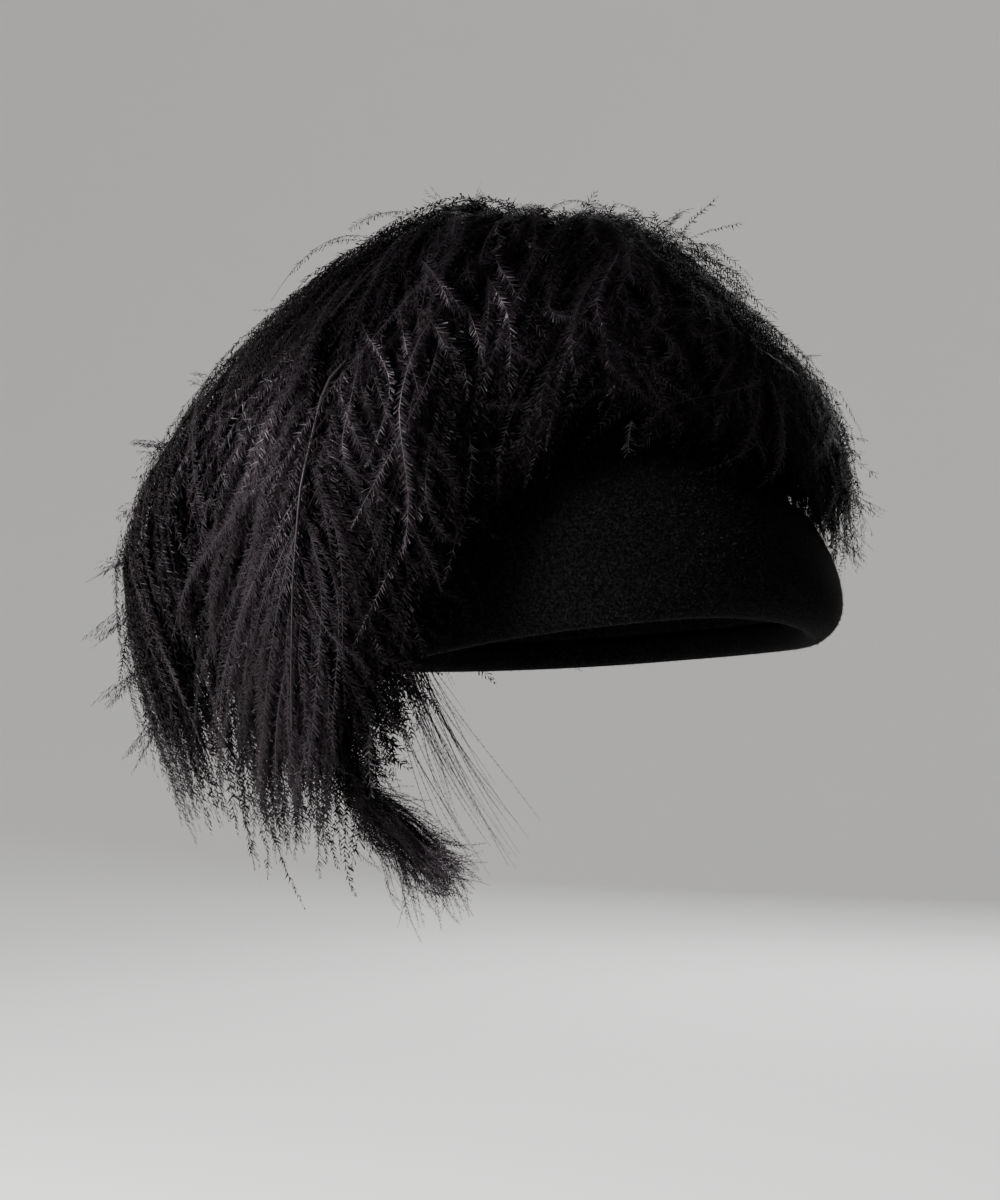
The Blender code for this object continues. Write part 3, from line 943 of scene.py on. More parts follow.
def add_barbules(mesh, paths, frames, kind, scale, bare, tone, finish, chance):
    """The barbules of each path, as thin triangles swept towards its tip, some with blunt ends."""
    heading, aside, away = frames
    lengths = np.linalg.norm(np.diff(paths, axis=1), axis=2).sum(axis=1)
    counts = np.maximum((lengths * (1 - bare) / kind.pitch).astype(int), 1)
    barb = np.repeat(np.arange(len(paths)), counts)
    number = len(barb)
    order = np.arange(number) - np.repeat(np.cumsum(counts) - counts, counts)
    end = 1 - bare[barb]
    share = (order + chance.uniform(*BARBULE_PLACES, number)) / counts[barb] * end
    spot = share * (STATIONS - 1)
    station = np.minimum(spot.astype(int), STATIONS - 2)
    part = (spot - station)[:, None]

    def between(field):
        """The values of a field where the barbules are rooted."""
        return field[barb, station] * (1 - part) + field[barb, station + 1] * part

    root, ahead, side, out = between(paths), between(heading), between(aside), between(away)
    shape = np.minimum(1, share / ROOT_TAPER + ROOT_FRINGE)
    shape = shape * np.minimum(1, (end - share) / TIP_TAPER + TIP_FRINGE)
    upright = 1 - TIP_LEAN * np.clip((share - end) / TIP_TAPER + 1, 0, 1)
    for hand in (-1, 1):
        roll = chance.normal(CUP, kind.roll, number)[:, None]
        sweep = (kind.sweep * chance.uniform(*BARBULE_SWEEPS, number) * upright)[:, None]
        reach = (side * hand * np.cos(roll) + out * np.sin(roll)) * np.sin(sweep) + ahead * np.cos(sweep)
        reach = unit(reach - UP * SAG * chance.random((number, 1)))
        length = kind.length * scale[barb] * shape * chance.uniform(*BARBULE_LENGTHS, number)
        tip = root + reach * length[:, None]
        half = ahead * kind.width / 2
        pointed = (chance.random((number, 1)) >= BLUNT_SHARE).astype(float)
        points = np.stack((
            root - half * pointed, root * pointed + tip * (1 - pointed) + half, tip - half * (1 - pointed),
        ), axis=1).reshape(-1, 3)
        faces = np.arange(number)[:, None] * 3 + np.array((0, 1, 2) if hand > 0 else (1, 0, 2))
        own = np.repeat(np.clip(tone[barb] + chance.normal(0, BARBULE_TONES, number), 0, 1), 3)
        broad = 1 - (1 - FRINGE_START) * pointed[:, 0]
        fringe = np.stack((np.full(number, FRINGE_START), broad, np.ones(number)), axis=1)
        mesh.add(points, faces, own, fringe.ravel(), finish)


# %% [markdown]
# A whole barb is its ribbon and its fringe. On some barbs the end of the shaft is worn
# bare, as on real plumes that have been handled. Deep down, where nothing fine can be
# seen, a barb is a folded band instead, with four triangles between two stations.

# %% Whole barbs, and bands
BARE_PART = (0.10, 0.30)
RIBBON_WIDTHS = (0.8, 1.3)
FRINGE_SCALES = (0.75, 1.2)
BAND_WIDTH = 0.0030
BAND_WIDTHS = (0.8, 1.3)
BAND_FOLD = 0.35
BAND_CORNERS = ((0, 3, 4), (0, 4, 1), (1, 4, 5), (1, 5, 2))

# How soon a band widens from its root and narrows to its tip, and how wide it is at each
BAND_ROOT = (0.08, 0.3)
BAND_TIP = (0.45, 0.04)


def add_barbs(mesh, paths, normals, tone, kind, chance, bare_share=0.15, finish=TOP_FINISH):
    """Whole barbs, with shafts and fringes, along the paths."""
    count = len(paths)
    frames = frames_along(paths, normals)
    bare = np.where(chance.random(count) < bare_share, chance.uniform(*BARE_PART, count), 0.0)
    add_ribbons(mesh, paths, frames[1], kind.ribbon * chance.uniform(*RIBBON_WIDTHS, count), tone, finish)
    add_barbules(mesh, paths, frames, kind, chance.uniform(*FRINGE_SCALES, count), bare, tone, finish, chance)


def add_bands(mesh, paths, normals, tone, chance):
    """Barbs as folded bands, for the depth of a plume. Their barbules are painted."""
    count = len(paths)
    _, aside, away = frames_along(paths, normals)
    widening = along_barb / BAND_ROOT[0] + BAND_ROOT[1]
    narrowing = (1 - along_barb) / BAND_TIP[0] + BAND_TIP[1]
    taper = np.minimum(1, np.minimum(widening, narrowing))
    wide = (BAND_WIDTH * chance.uniform(*BAND_WIDTHS, (count, 1)) * taper)[..., None]
    edge = aside * wide
    sunk = away * wide * BAND_FOLD
    points = np.stack((paths - edge - sunk, paths, paths + edge - sunk), axis=2).reshape(-1, 3)
    first = (np.arange(count)[:, None] * STATIONS + np.arange(STATIONS - 1)[None, :]).ravel()[:, None] * 3
    faces = np.concatenate([first + np.array(corners) for corners in BAND_CORNERS])
    steps = np.linalg.norm(np.diff(paths, axis=1), axis=2)
    along = np.concatenate((np.zeros((count, 1)), np.cumsum(steps, axis=1)), axis=1)
    along = along + chance.random((count, 1))
    mesh.add(
        points, faces, np.repeat(tone, STATIONS * 3), np.tile((1.0, 0.0, 1.0), count * STATIONS),
        finish=DOWN_FINISH, along=np.repeat(along.ravel(), 3),
    )


# %% [markdown]
# The barbs of one feather leave its shaft on both sides, swing out, and droop until they
# run along with it. Neighbours cling together in small locks that share their bends, and
# some barbs stand loose from the mass and curl. So every random value below is drawn
# either once for each lock or once for each barb.

# %% Locks of barbs
# side and spread are shares of the plume's half width, and sway is how far the shaft swings
# to the side on the way, as a share of it too; end and stop are where the shaft and the
# barbs end, as shares of the plume's length; length and depth are in metres
Feather = namedtuple("Feather", "side sway spread end stop length depth barbs")


class Locks:
    """The barbs of one feather in their order along it, their hands, and the locks they cling in."""

    def __init__(self, count, lock_size, chance):
        self.count, self.chance = count, chance
        self.order = (np.arange(count) + chance.random(count)) / count
        self.hand = np.where(chance.random(count) < 0.5, -1.0, 1.0)
        self.lock = (np.arange(count) // lock_size) * 2 + (self.hand > 0)

    def of_lock(self, low, high):
        """One value for each lock, as a column over its barbs."""
        return self.chance.uniform(low, high, self.lock.max() + 1)[self.lock][:, None]

    def of_barb(self, low, high):
        """One value for each barb, as a column."""
        return self.chance.uniform(low, high, (self.count, 1))

    def about_nothing(self, size):
        """One value for each barb that strays from nought by about this size."""
        return self.chance.normal(0, size, (self.count, 1))


# %% [markdown]
# How a barb bends to the side and how it stands off the mass are worked out apart, both
# in metres. A slow wave bends a whole lock, a faint one each barb, and a curl grows
# towards the tip. Loose barbs rise above the mass, and the upper locks arch.

# %% Bends and rises
LOCK_BEND = 0.0075
LOCK_BENDS = (0.3, 1.0)
LOCK_TURNS = (0.35, 0.80)
OWN_BEND = 0.0030
OWN_TURNS = 0.8
CURL = 0.0070
LIFT = 0.0030
LIFTS = (0.2, 1.2)
LOOSE_SHARE = 0.14
LOOSE_LIFT = 0.0060
LOOSE_LIFTS = (0.2, 1)
LIFT_WAVE = 0.9
LOOSE_WAVE = 0.25
HEAVING = 0.004
HEAVING_TURNS = 0.6
ARCH = 0.007
ARCHED = 0.55
SHOULDER = 0.75


def bends(locks, t, bend):
    """How far each barb bends to the side at shares t along it."""
    turns, phase = locks.of_lock(*LOCK_TURNS), locks.of_lock(0, math.tau)
    wave = np.sin(t * math.tau * turns + phase) - np.sin(phase)
    own_wave = np.sin(t * math.tau * OWN_TURNS + locks.of_barb(0, math.tau)) * t
    curl = locks.about_nothing(CURL) * bend * t ** 3
    return LOCK_BEND * bend * locks.of_lock(*LOCK_BENDS) * wave * t ** 0.7 + OWN_BEND * own_wave + curl


def rises(locks, t, root):
    """How far each barb stands off the mass at shares t along it."""
    loose = (locks.of_barb(0, 1) < LOOSE_SHARE).astype(float)
    lift = LIFT * locks.of_barb(*LIFTS) + LOOSE_LIFT * loose * locks.of_barb(*LOOSE_LIFTS)
    lift = lift * np.sin(t * math.pi * (LIFT_WAVE - LOOSE_WAVE * loose))
    size, phase = locks.of_lock(*LOCK_BENDS), locks.of_lock(0, math.tau)
    heaving = HEAVING * size * np.sin(t * math.tau * HEAVING_TURNS + phase) * t
    arch = ARCH * locks.of_lock(0, 1) ** 2 * np.sin(t * math.pi) * np.clip(1 - root / ARCHED, 0, 1)
    return lift + arch - heaving


def shoulder_depth(plume, share):
    """How far the shoulder of a plume lies below its packed outline, at shares along it."""
    return plume.sink * np.sin(np.clip(share / SHOULDER, 0, 1) * math.pi)


# %% [markdown]
# Now the lines themselves. Near the end of the shaft the barbs leave it less and less, so
# the tip of the feather is full. Deeper barbs are darker, as painted shade under the
# layers above them, most locks are dull and some bright, and the barbs over the crown
# get painted shade. All of this is worked out in the plume's own terms and only then
# turned into points.

# %% The lines of a feather's barbs
# Where the barbs are rooted and how long they are
CROWDING = 0.75
LOCK_LENGTHS = (0.74, 1.15)
BARB_LENGTHS = (0.85, 1.12)
LEAST_LENGTH = 0.2
STOPS = (-0.07, 0.05)
STOP_SPREAD = 0.02

# How far they reach to the side
LOCK_REACHES = (0.30, 1.10)
OWN_REACH = 0.09
CLOSING = 0.50
LEAVING = 1.6
FULL_TIP = 0.55
TIP_NARROWING = 0.85

# How deep they lie, in metres, and how light they are, with painted shade that grows
# with depth and over the crown
LOCK_DEPTH = 0.005
OWN_DEPTHS = (-0.0015, 0.0015)
BRIGHT_SHARE = 0.42
BRIGHT_TONE = 0.95
DULL_TONE = 0.22
DEPTH_PAINTED_SHADE = 0.6
PAINTED_SHADE_DEPTH = 0.011
TONE_SPREAD = 0.10
LEAST_TONE = 0.03
PAINTED_CROWN_SHADE = 0.42
SHADE_ENDS = 0.45


def feather_lines(plume, feather, chance, bend=1.0, lock_size=3):
    """Lines, outward directions and tones, with painted shade, of the barbs of one feather."""
    locks = Locks(feather.barbs, lock_size, chance)
    t = along_barb[None, :]
    root = (plume.first + (feather.end - plume.first) * locks.order ** CROWDING)[:, None]
    length = feather.length * locks.of_lock(*LOCK_LENGTHS) * locks.of_barb(*BARB_LENGTHS)
    room = (feather.stop + locks.of_lock(*STOPS) + locks.about_nothing(STOP_SPREAD) - root) * plume.length
    length = np.minimum(length, np.maximum(room, LEAST_LENGTH * feather.length))
    share = root + length / plume.length * t

    near_tip = np.clip((locks.order - FULL_TIP) / (1 - FULL_TIP), 0, 1)[:, None]
    lock_reach = locks.of_lock(*LOCK_REACHES) * (1 - TIP_NARROWING * near_tip ** 1.3)
    own_reach = lock_reach + locks.about_nothing(OWN_REACH)
    reach = own_reach + (lock_reach - own_reach) * CLOSING * t ** 1.5
    middle = feather.side + feather.sway * np.sin(np.clip(share, 0, 1) * math.pi)
    side = middle + locks.hand[:, None] * reach * feather.spread * (1 - (1 - t) ** LEAVING)
    side = side + bends(locks, t, bend) / plume.side_width(np.clip(share, 0.05, 1))

    rise = rises(locks, t, root)
    base = feather.depth + LOCK_DEPTH * locks.of_lock(0, 1) + locks.of_barb(*OWN_DEPTHS)
    paths, normals = plume.at(share, side, base - rise + shoulder_depth(plume, share))

    # Tones: bright or dull locks at random, darkened as painted shade with depth and over the crown
    bright = np.where(locks.of_lock(0, 1)[:, 0] < BRIGHT_SHARE, BRIGHT_TONE, DULL_TONE)
    tone = bright - base[:, 0] / PAINTED_SHADE_DEPTH * DEPTH_PAINTED_SHADE + chance.normal(0, TONE_SPREAD, feather.barbs)
    shade = PAINTED_CROWN_SHADE + (1 - PAINTED_CROWN_SHADE) * np.clip(root[:, 0] / SHADE_ENDS, 0, 1)
    return clear_of_felt(paths), normals, np.clip(tone, LEAST_TONE, 1) * shade


# %% [markdown]
# The thick shaft of a feather is a bent tube that tapers to its tip. It shows on the big
# feather on the wearer's right, where the barbs part to either side of it. The shafts of
# the other feathers lie under their barbs.

# %% A feather's shaft
TUBE_SIDES = 6
TUBE_POINTS = 40
TUBE_RADIUS = 0.0016
TUBE_TAPER = 0.85
SHAFT_START = 0.02
SHAFT_PAST = 0.06
SHAFT_LIFT = 0.0030
SHAFT_HIDDEN = 0.014
SHAFT_EMERGES = (0.46, 0.56)


def add_shaft(mesh, plume, feather, tone):
    """A round tapering tube along the middle of one feather, hidden up to where it emerges."""
    share = np.linspace(SHAFT_START, feather.end + SHAFT_PAST, TUBE_POINTS)
    side = feather.side + feather.sway * np.sin(np.clip(share, 0, 1) * math.pi)
    hidden = np.clip((SHAFT_EMERGES[1] - share) / (SHAFT_EMERGES[1] - SHAFT_EMERGES[0]), 0, 1)
    depth = feather.depth - SHAFT_LIFT * tone + SHAFT_HIDDEN * hidden + shoulder_depth(plume, share)
    path, normal = plume.at(share, side, depth)
    path = clear_of_felt(path)
    _, aside, away = (field[0] for field in frames_along(path[None], normal[None]))
    turns = np.arange(TUBE_SIDES) * math.tau / TUBE_SIDES
    ring = aside[:, None] * np.cos(turns)[None, :, None] + away[:, None] * np.sin(turns)[None, :, None]
    radius = TUBE_RADIUS * (1 - TUBE_TAPER * share / share[-1])
    points = (path[:, None] + ring * radius[:, None, None]).reshape(-1, 3)
    rows, columns = np.meshgrid(np.arange(TUBE_POINTS - 1), np.arange(TUBE_SIDES), indexing="ij")
    low, low_after = rows * TUBE_SIDES + columns, rows * TUBE_SIDES + (columns + 1) % TUBE_SIDES
    high, high_after = low + TUBE_SIDES, low_after + TUBE_SIDES
    faces = np.concatenate((
        np.stack((low, low_after, high_after), axis=-1).reshape(-1, 3),
        np.stack((low, high_after, high), axis=-1).reshape(-1, 3),
    ))
    mesh.add(points, faces, np.full(len(points), tone), np.zeros(len(points)))


# %% [markdown]
# A plume is dressed in layers. Broad dark down lies deepest and keeps light from passing
# through, and its near black colour is painted shade for the inside of the plume. Over it
# come the barbs of its side feathers, and last those of the middle feather. The table
# says where each feather lies in its plume, the top one last.

# %% The feathers of each plume
FEATHERS = {
    "plume_front": (
        Feather(-0.55, -0.10, 0.80, 0.80, 1.00, 0.075, 0.008, 130),
        Feather(0.60, 0.10, 0.80, 0.80, 1.00, 0.075, 0.008, 130),
        Feather(0.05, 0.15, 1.15, 0.82, 1.00, 0.080, 0.001, 170),
    ),
    "plume_front_right": (
        Feather(-0.60, -0.10, 0.80, 0.80, 0.95, 0.080, 0.007, 130),
        Feather(0.60, 0.10, 0.80, 0.74, 0.88, 0.080, 0.008, 130),
        Feather(0.00, -0.15, 1.10, 0.76, 0.92, 0.080, 0.001, 190),
    ),
    "plume_right": (
        Feather(-0.45, 0.10, 0.75, 0.58, 0.78, 0.070, 0.006, 140),
        Feather(0.80, 0.10, 1.00, 0.72, 0.92, 0.100, 0.009, 170),
        Feather(0.35, -0.10, 1.10, 0.70, 0.88, 0.090, 0.001, 180),
    ),
    "plume_right_side": (
        Feather(-0.65, 0.00, 0.62, 0.88, 1.03, 0.110, 0.009, 235),
        Feather(0.65, 0.10, 0.85, 0.88, 1.02, 0.110, 0.010, 235),
        Feather(-0.55, 0.00, 0.45, 0.92, 1.08, 0.090, 0.012, 90),
        Feather(0.20, -0.25, 0.90, 0.44, 0.66, 0.090, -0.003, 130),
        Feather(-0.15, -0.42, 1.25, 0.84, 0.98, 0.120, 0.001, 330),
    ),
    "plume_back_right": (
        Feather(-0.60, 0.10, 0.90, 0.84, 1.00, 0.115, 0.007, 190),
        Feather(0.60, 0.10, 0.90, 0.82, 1.00, 0.115, 0.009, 160),
        Feather(0.00, -0.15, 1.20, 0.84, 1.00, 0.120, 0.001, 230),
    ),
    "plume_back": (
        Feather(-0.60, 0.10, 0.90, 0.82, 1.00, 0.110, 0.007, 115),
        Feather(0.60, 0.10, 0.90, 0.82, 1.00, 0.110, 0.009, 115),
        Feather(0.00, 0.15, 1.15, 0.84, 1.00, 0.115, 0.001, 190),
    ),
    "plume_back_left": (
        Feather(-0.60, 0.10, 0.85, 0.82, 0.92, 0.100, 0.007, 125),
        Feather(0.60, 0.10, 0.85, 0.82, 0.92, 0.100, 0.009, 125),
        Feather(0.00, -0.12, 1.15, 0.84, 0.92, 0.105, 0.001, 155),
    ),
    "plume_left": (
        Feather(-0.60, 0.10, 0.85, 0.80, 0.95, 0.085, 0.007, 115),
        Feather(0.60, 0.10, 0.85, 0.80, 0.95, 0.085, 0.009, 115),
        Feather(0.00, 0.12, 1.15, 0.82, 0.95, 0.090, 0.001, 160),
    ),
    "plume_front_left": (
        Feather(-0.60, 0.10, 0.80, 0.80, 1.02, 0.080, 0.007, 130),
        Feather(0.60, 0.10, 0.80, 0.80, 1.02, 0.080, 0.009, 130),
        Feather(0.00, -0.15, 1.15, 0.82, 1.04, 0.085, 0.001, 180),
    ),
    "plume_nape": (
        Feather(-0.30, 0.00, 0.75, 0.84, 0.98, 0.070, 0.002, 200),
        Feather(-0.80, 0.00, 0.55, 0.94, 1.06, 0.065, 0.000, 200),
    ),
}
print("feathers", sum(len(feathers) for feathers in FEATHERS.values()))

# %% [markdown]
# The plumes don't all look alike. The front ones curl more, cling in thicker locks and
# are painted darker, as shade where the light only grazes them, and their tips are
# barer. The down spreads wider at the back, where the plumes stand further apart. Only
# the big plume's shaft stands out fully.

# %% The look of each plume
# bend: how far its barbs bend. cling: how many share a lock. light: how light they are
# beside the big plume's, a painted light and shade for how the light falls on that side
# of the hat. bare: the share of its top barbs with bare tips. shaft: how far its shaft
# shows. down: how wide its down spreads, as a share of its half width
Look = namedtuple("Look", "bend cling light bare shaft down")
LOOKS = {
    "plume_front": Look(3.0, 6, 0.25, 0.35, 0.1, 0.95),
    "plume_front_right": Look(3.0, 6, 0.32, 0.35, 0.1, 0.95),
    "plume_right": Look(1.4, 4, 0.55, 0.25, 0.1, 0.95),
    "plume_right_side": Look(0.8, 3, 1.0, 0.15, 1.0, 0.95),
    "plume_back_right": Look(1.0, 3, 1.0, 0.15, 0.1, 1.10),
    "plume_back": Look(1.5, 3, 1.0, 0.15, 0.5, 1.25),
    "plume_back_left": Look(1.5, 3, 1.0, 0.15, 0.1, 1.25),
    "plume_left": Look(1.5, 3, 0.70, 0.15, 0.5, 1.15),
    "plume_front_left": Look(2.6, 6, 0.25, 0.15, 0.1, 0.95),
    "plume_nape": Look(1.0, 3, 0.70, 0.40, 0.1, 0.95),
}
print("locks of", sorted({look.cling for look in LOOKS.values()}), "barbs")

# %% [markdown]
# The down fills the width of a plume under all of its feathers. Its bands lie deeper than
# the barbs and end sooner, so that their broad tips stay hidden behind the fringe. Their
# colour is kept near black, as painted shade.

# %% The down of a plume
DOWN_SHARE = 0.50
DOWN_END = 0.84
DOWN_SHORTER = 0.07
DOWN_LENGTH = 0.85
DOWN_DEPTH = 0.012
DOWN_TONE = 0.45
DOWN_BRIGHTEST = 0.6


def add_down(mesh, name, chance):
    """Broad bands of down under the feathers of a plume."""
    top = FEATHERS[name][-1]
    number = round(sum(feather.barbs for feather in FEATHERS[name]) * DOWN_SHARE)
    down = Feather(
        0, 0, LOOKS[name].down, DOWN_END, top.stop - DOWN_SHORTER,
        top.length * DOWN_LENGTH, top.depth + DOWN_DEPTH, number,
    )
    paths, normals, tone = feather_lines(plumes[name], down, chance)
    # The down's tone is capped low, which keeps it in painted shade
    add_bands(mesh, paths, normals, np.clip(tone + DOWN_TONE, 0, DOWN_BRIGHTEST), chance)


# %% [markdown]
# On top of each plume lies a thin coat of single bright barbs, which gives the lustre.
# Their tones vary most. The mass and the under feathers below the coat are darkened as
# painted shade. Where a plume is painted dark, the mass under the coat takes the dull
# finish, so that only the coat catches the light.

# %% The plumes
FIRST_SEED = 100
DULL_BELOW = 0.6
UNDER_PAINTED_SHADE = 0.32
MASS_PAINTED_SHADE = 0.36
COAT_SHARE = 0.34
COAT_LIFT = 0.0018
COAT_TONE = 0.85
COAT_SPREAD = 0.25
COAT_TONES = (0.2, 1.2)
COAT_SHADE = 0.4
COAT_PAINTED_LIGHT = 0.3


def make_plume(name, seed):
    """One plume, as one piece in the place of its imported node."""
    plume, look = plumes[name], LOOKS[name]
    chance = np.random.default_rng(seed)
    mesh = Gathered()
    *under, top = FEATHERS[name]
    if name == "plume_nape":
        under_kind = mass_kind = coat_kind = FINE_FRINGE
    else:
        under_kind, mass_kind, coat_kind = UNDER_FRINGE, MASS_FRINGE, TOP_FRINGE
        add_down(mesh, name, chance)
    for feather in under:
        paths, normals, tone = feather_lines(plume, feather, chance, look.bend, look.cling)
        # Under feathers are darkened as painted shade, and by the plume's painted light
        tone = tone * UNDER_PAINTED_SHADE * look.light
        add_barbs(mesh, paths, normals, tone, under_kind, chance, finish=UNDER_FINISH)
    paths, normals, tone = feather_lines(plume, top, chance, look.bend, look.cling)
    mass_finish = UNDER_FINISH if look.light < DULL_BELOW else TOP_FINISH
    # The mass is darkened as painted shade under the coat
    add_barbs(mesh, paths, normals, tone * MASS_PAINTED_SHADE * look.light, mass_kind, chance, finish=mass_finish)
    coat = top._replace(barbs=round(top.barbs * COAT_SHARE), depth=top.depth - COAT_LIFT)
    paths, normals, shade = feather_lines(plume, coat, chance, look.bend, lock_size=1)
    tone = np.clip(chance.normal(COAT_TONE, COAT_SPREAD, coat.barbs), *COAT_TONES)
    # The coat takes a weak share of the plume's painted light and of the painted crown shade
    tone = tone * look.light ** COAT_PAINTED_LIGHT * (COAT_SHADE + (1 - COAT_SHADE) * shade)
    add_barbs(mesh, paths, normals, tone, coat_kind, chance, look.bare)
    add_shaft(mesh, plume, top, look.shaft)
    piece = mesh.piece(name + "_barbs")
    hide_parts(name)


for index, name in enumerate(FEATHERS):
    make_plume(name, FIRST_SEED + index)

# %% [markdown]
# The plumes stand close together where they are stitched to the crown, and their first
# short barbs arch up and over the middle, which closes the top. Each is a thrown line: it
# leaves its root at a slant and falls away under its own weight.

# %% The crest
def thrown_lines(root, direction, length, droop, curl):
    """Lines that leave their roots in a direction, droop, and curl to one side."""
    t = along_barb[None, :, None]
    aside = unit(np.cross(direction, UP))
    paths = root[:, None] + direction[:, None] * t * length[:, None, None]
    paths = paths - UP * (droop * length)[:, None, None] * t ** 2
    paths = paths + aside[:, None] * (curl * length)[:, None, None] * t ** 2
    normals = np.broadcast_to(unit(np.cross(aside, direction))[:, None], paths.shape)
    return paths, normals


# Where the barbs of the crest are rooted, as shares of the plumes' lengths, which way they
# head, as a turn from outward, how steeply, and how long they are in metres
Arching = namedtuple("Arching", "count first last turn wander slant_from slant_to short long")
ARCHINGS = (
    Arching(190, 0.08, 0.27, math.pi, 0.7, 0.20, 0.80, 0.045, 0.080),
    Arching(130, 0.12, 0.32, 0.0, 0.9, 0.25, 0.85, 0.036, 0.062),
)
CREST_SEED = 31
CREST_DEPTHS = (0.001, 0.006)
CREST_DROOPS = (0.55, 1.00)
CREST_CURL = 0.25
CREST_TONE = 0.35
CREST_SPREAD = 0.25


def make_crest():
    """The short barbs that arch over the middle of the plumes, and out over their shoulders."""
    chance = np.random.default_rng(CREST_SEED)
    mesh = Gathered()
    for row in ARCHINGS:
        count = row.count
        angle = chance.uniform(0, math.tau, count)
        share, depth = chance.uniform(row.first, row.last, count), chance.uniform(*CREST_DEPTHS, count)
        root, _ = cover.at(share, angle, depth)
        slant = chance.uniform(row.slant_from, row.slant_to, count)
        heading = angle + row.turn + chance.normal(0, row.wander, count)
        direction = outward(heading) * np.cos(slant)[:, None] + UP * np.sin(slant)[:, None]
        length = chance.uniform(row.short, row.long, count)
        droop, curl = chance.uniform(*CREST_DROOPS, count), chance.normal(0, CREST_CURL, count)
        paths, normals = thrown_lines(root, direction, length, droop, curl)
        tone = np.clip(chance.normal(CREST_TONE, CREST_SPREAD, count), 0.05, 1)
        add_barbs(mesh, paths, normals, tone, TOP_FRINGE, chance)
    mesh.piece("crest_barbs")


make_crest()

# %% [markdown]
# A few long thin barbs hang free of the mass and fan forward below the cuff on the right,
# over the temple. Their fringe is short and sparse, so they read as fine hairs. They are
# drawn straight from angles, radii and heights.

# %% Barbs over the temple
# Sweeps, waves and angles are in degrees, falls, heights and radii in metres
TEMPLE_SEED = 41
TEMPLE_BARBS = 60
TEMPLE_FALLS = (0.030, 0.105)
TEMPLE_SWEEPS = (22, 40)
TEMPLE_WAVE = 2.0
TEMPLE_ANGLES = (97, 112)
TEMPLE_HEIGHTS = (0.0, 0.03)
TEMPLE_STEADY = 0.35
TEMPLE_RADII = (0.100, 0.110)
TEMPLE_INWARD = 0.004
TEMPLE_TONE = 0.6
TEMPLE_BARE = 0.5


def make_temple():
    """Sparse long barbs that fall from under the right plume and sweep forward."""
    chance = np.random.default_rng(TEMPLE_SEED)
    each = (TEMPLE_BARBS, 1)
    t = along_barb[None, :]
    fall = chance.uniform(*TEMPLE_FALLS, each)
    sweep = fall / TEMPLE_FALLS[1] * chance.uniform(*TEMPLE_SWEEPS, each)
    wave = chance.normal(0, TEMPLE_WAVE, each) * np.sin(t * math.pi * chance.uniform(1, 2, each))
    angle = np.radians(chance.uniform(*TEMPLE_ANGLES, each) - sweep * t ** 1.6 + wave)
    fallen = TEMPLE_STEADY * t + (1 - TEMPLE_STEADY) * t ** 1.3
    height = chance.uniform(*TEMPLE_HEIGHTS, each) - fall * fallen
    radius = chance.uniform(*TEMPLE_RADII, each) - TEMPLE_INWARD * t
    paths = clear_of_felt(place(angle, radius, height))
    mesh = Gathered()
    tone = np.full(TEMPLE_BARBS, TEMPLE_TONE)
    add_barbs(mesh, paths, outward(angle), tone, BARE_FRINGE, chance, bare_share=TEMPLE_BARE)
    mesh.piece("temple_barbs")


make_temple()

# %% [markdown]
# No plume has a clean outline: single barbs stand out all over it. Each stray leaves the
# cover a little below its surface, heads on towards the tip but also outward, and is
# thrown as the barbs of the crest are.

# %% Stray barbs
STRAY_SEED = 51
STRAYS = 140
STRAY_SHARES = (0.12, 0.97)
STRAY_DEPTH = 0.002
STRAY_STEP = 0.02
STRAY_ASIDE = 0.5
STRAY_OUTWARD = (0.25, 0.75)
STRAY_LENGTHS = (0.016, 0.030)
STRAY_DROOPS = (-0.1, 0.4)
STRAY_CURL = 0.3
STRAY_TONE = 0.4
STRAY_SPREAD = 0.2


def make_strays():
    """Single barbs that stand proud of the outline all round."""
    chance = np.random.default_rng(STRAY_SEED)
    share = chance.uniform(*STRAY_SHARES, STRAYS)
    angle = chance.uniform(0, math.tau, STRAYS)
    depth = np.full(STRAYS, STRAY_DEPTH)
    root, normal = cover.at(share, angle, depth)
    ahead = unit(cover.at(share + STRAY_STEP, angle, depth)[0] - root)
    aside = np.cross(normal, ahead) * chance.normal(0, STRAY_ASIDE, (STRAYS, 1))
    direction = unit(ahead + aside + normal * chance.uniform(*STRAY_OUTWARD, (STRAYS, 1)))
    length = chance.uniform(*STRAY_LENGTHS, STRAYS)
    droop, curl = chance.uniform(*STRAY_DROOPS, STRAYS), chance.normal(0, STRAY_CURL, STRAYS)
    paths, normals = thrown_lines(root, direction, length, droop, curl)
    mesh = Gathered()
    tone = np.clip(chance.normal(STRAY_TONE, STRAY_SPREAD, STRAYS), 0.1, 1)
    add_barbs(mesh, paths, normals, tone, MASS_FRINGE, chance, bare_share=0.0)
    mesh.piece("stray_barbs")


make_strays()

# %% [markdown]
# A few small tufts break the outline of the hat where a feather's tip turns up. They are
# placed in the plane through the hat that faces the camera: each leaves the mass at one
# spot, heads for another, and bends down on its way.

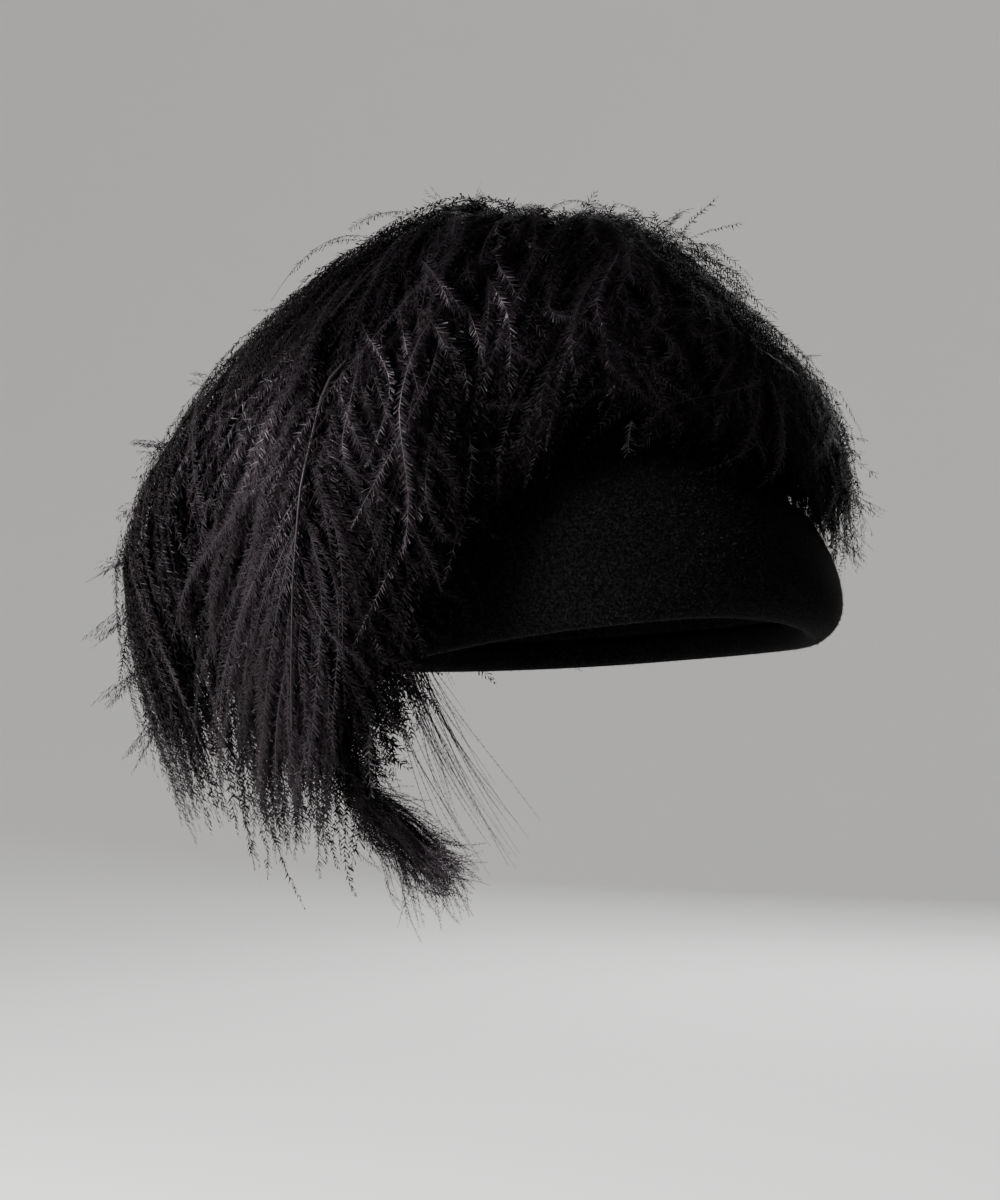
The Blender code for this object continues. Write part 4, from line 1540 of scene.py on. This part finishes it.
# %% Tufts on the outline
# Spots are millimetres to the right of the hat's origin in the picture, and above it
Tuft = namedtuple("Tuft", "from_right from_up to_right to_up bend barbs")
TUFTS = (
    Tuft(-52, 176, -72, 203, 0.15, 4),
    Tuft(-60, 172, -50, 200, -0.10, 4),
    Tuft(-62, 164, -92, 186, 0.25, 7),
    Tuft(-20, 176, -34, 196, 0.20, 5),
    Tuft(4, 174, 16, 194, 0.20, 5),
    Tuft(12, 168, 44, 188, 0.25, 6),
    Tuft(20, 168, 40, 196, 0.10, 4),
    Tuft(36, 146, 70, 158, 0.10, 6),
    Tuft(52, 134, 82, 142, 0.12, 5),
    Tuft(62, 124, 96, 126, 0.12, 6),
    Tuft(78, 106, 108, 108, 0.15, 5),
    Tuft(84, 94, 117, 94, 0.20, 7),
    Tuft(92, 76, 122, 66, 0.25, 7),
    Tuft(94, 60, 118, 44, 0.20, 7),
    Tuft(-154, 112, -176, 122, 0.20, 5),
    Tuft(-172, 84, -200, 92, 0.25, 7),
    Tuft(-178, 66, -203, 62, 0.25, 6),
    Tuft(-182, 44, -212, 36, 0.30, 8),
    Tuft(-184, 26, -213, 8, 0.20, 9),
    Tuft(-182, 4, -208, -20, 0.15, 8),
    Tuft(-176, -14, -198, -42, 0.10, 8),
)
TUFT_SEED = 61
TUFT_WIDTH = 0.0025
TUFT_CURL = 0.1
TUFT_TONE = 0.5
TUFT_SPREAD = 0.2


def make_tufts():
    """Small tufts of barbs at the places in the table."""
    chance = np.random.default_rng(TUFT_SEED)
    rows = [row for row in TUFTS for _ in range(row.barbs)]
    count = len(rows)
    right = np.array(picture_right)
    near_start, near_end = chance.normal(0, TUFT_WIDTH, (2, count, 3))
    start = np.array([right * row.from_right + UP * row.from_up for row in rows]) / 1000 + near_start
    end = np.array([right * row.to_right + UP * row.to_up for row in rows]) / 1000 + near_end
    bend = np.array([row.bend for row in rows])
    length = np.linalg.norm(end - start, axis=1)
    direction = unit(unit(end - start) + UP * bend[:, None])
    paths, normals = thrown_lines(start, direction, length, bend, chance.normal(0, TUFT_CURL, count))
    mesh = Gathered()
    tone = np.clip(chance.normal(TUFT_TONE, TUFT_SPREAD, count), 0.1, 1)
    add_barbs(mesh, paths, normals, tone, TOP_FRINGE, chance, bare_share=0.0)
    mesh.piece("tuft_barbs")


make_tufts()

# %% [markdown]
# Last, the whole is measured. The number of triangles tells how heavy the hat is to
# render.

# %% The triangle count and the end
print("triangles in all", sum(len(triangles_of(item)[0]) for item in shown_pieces()))
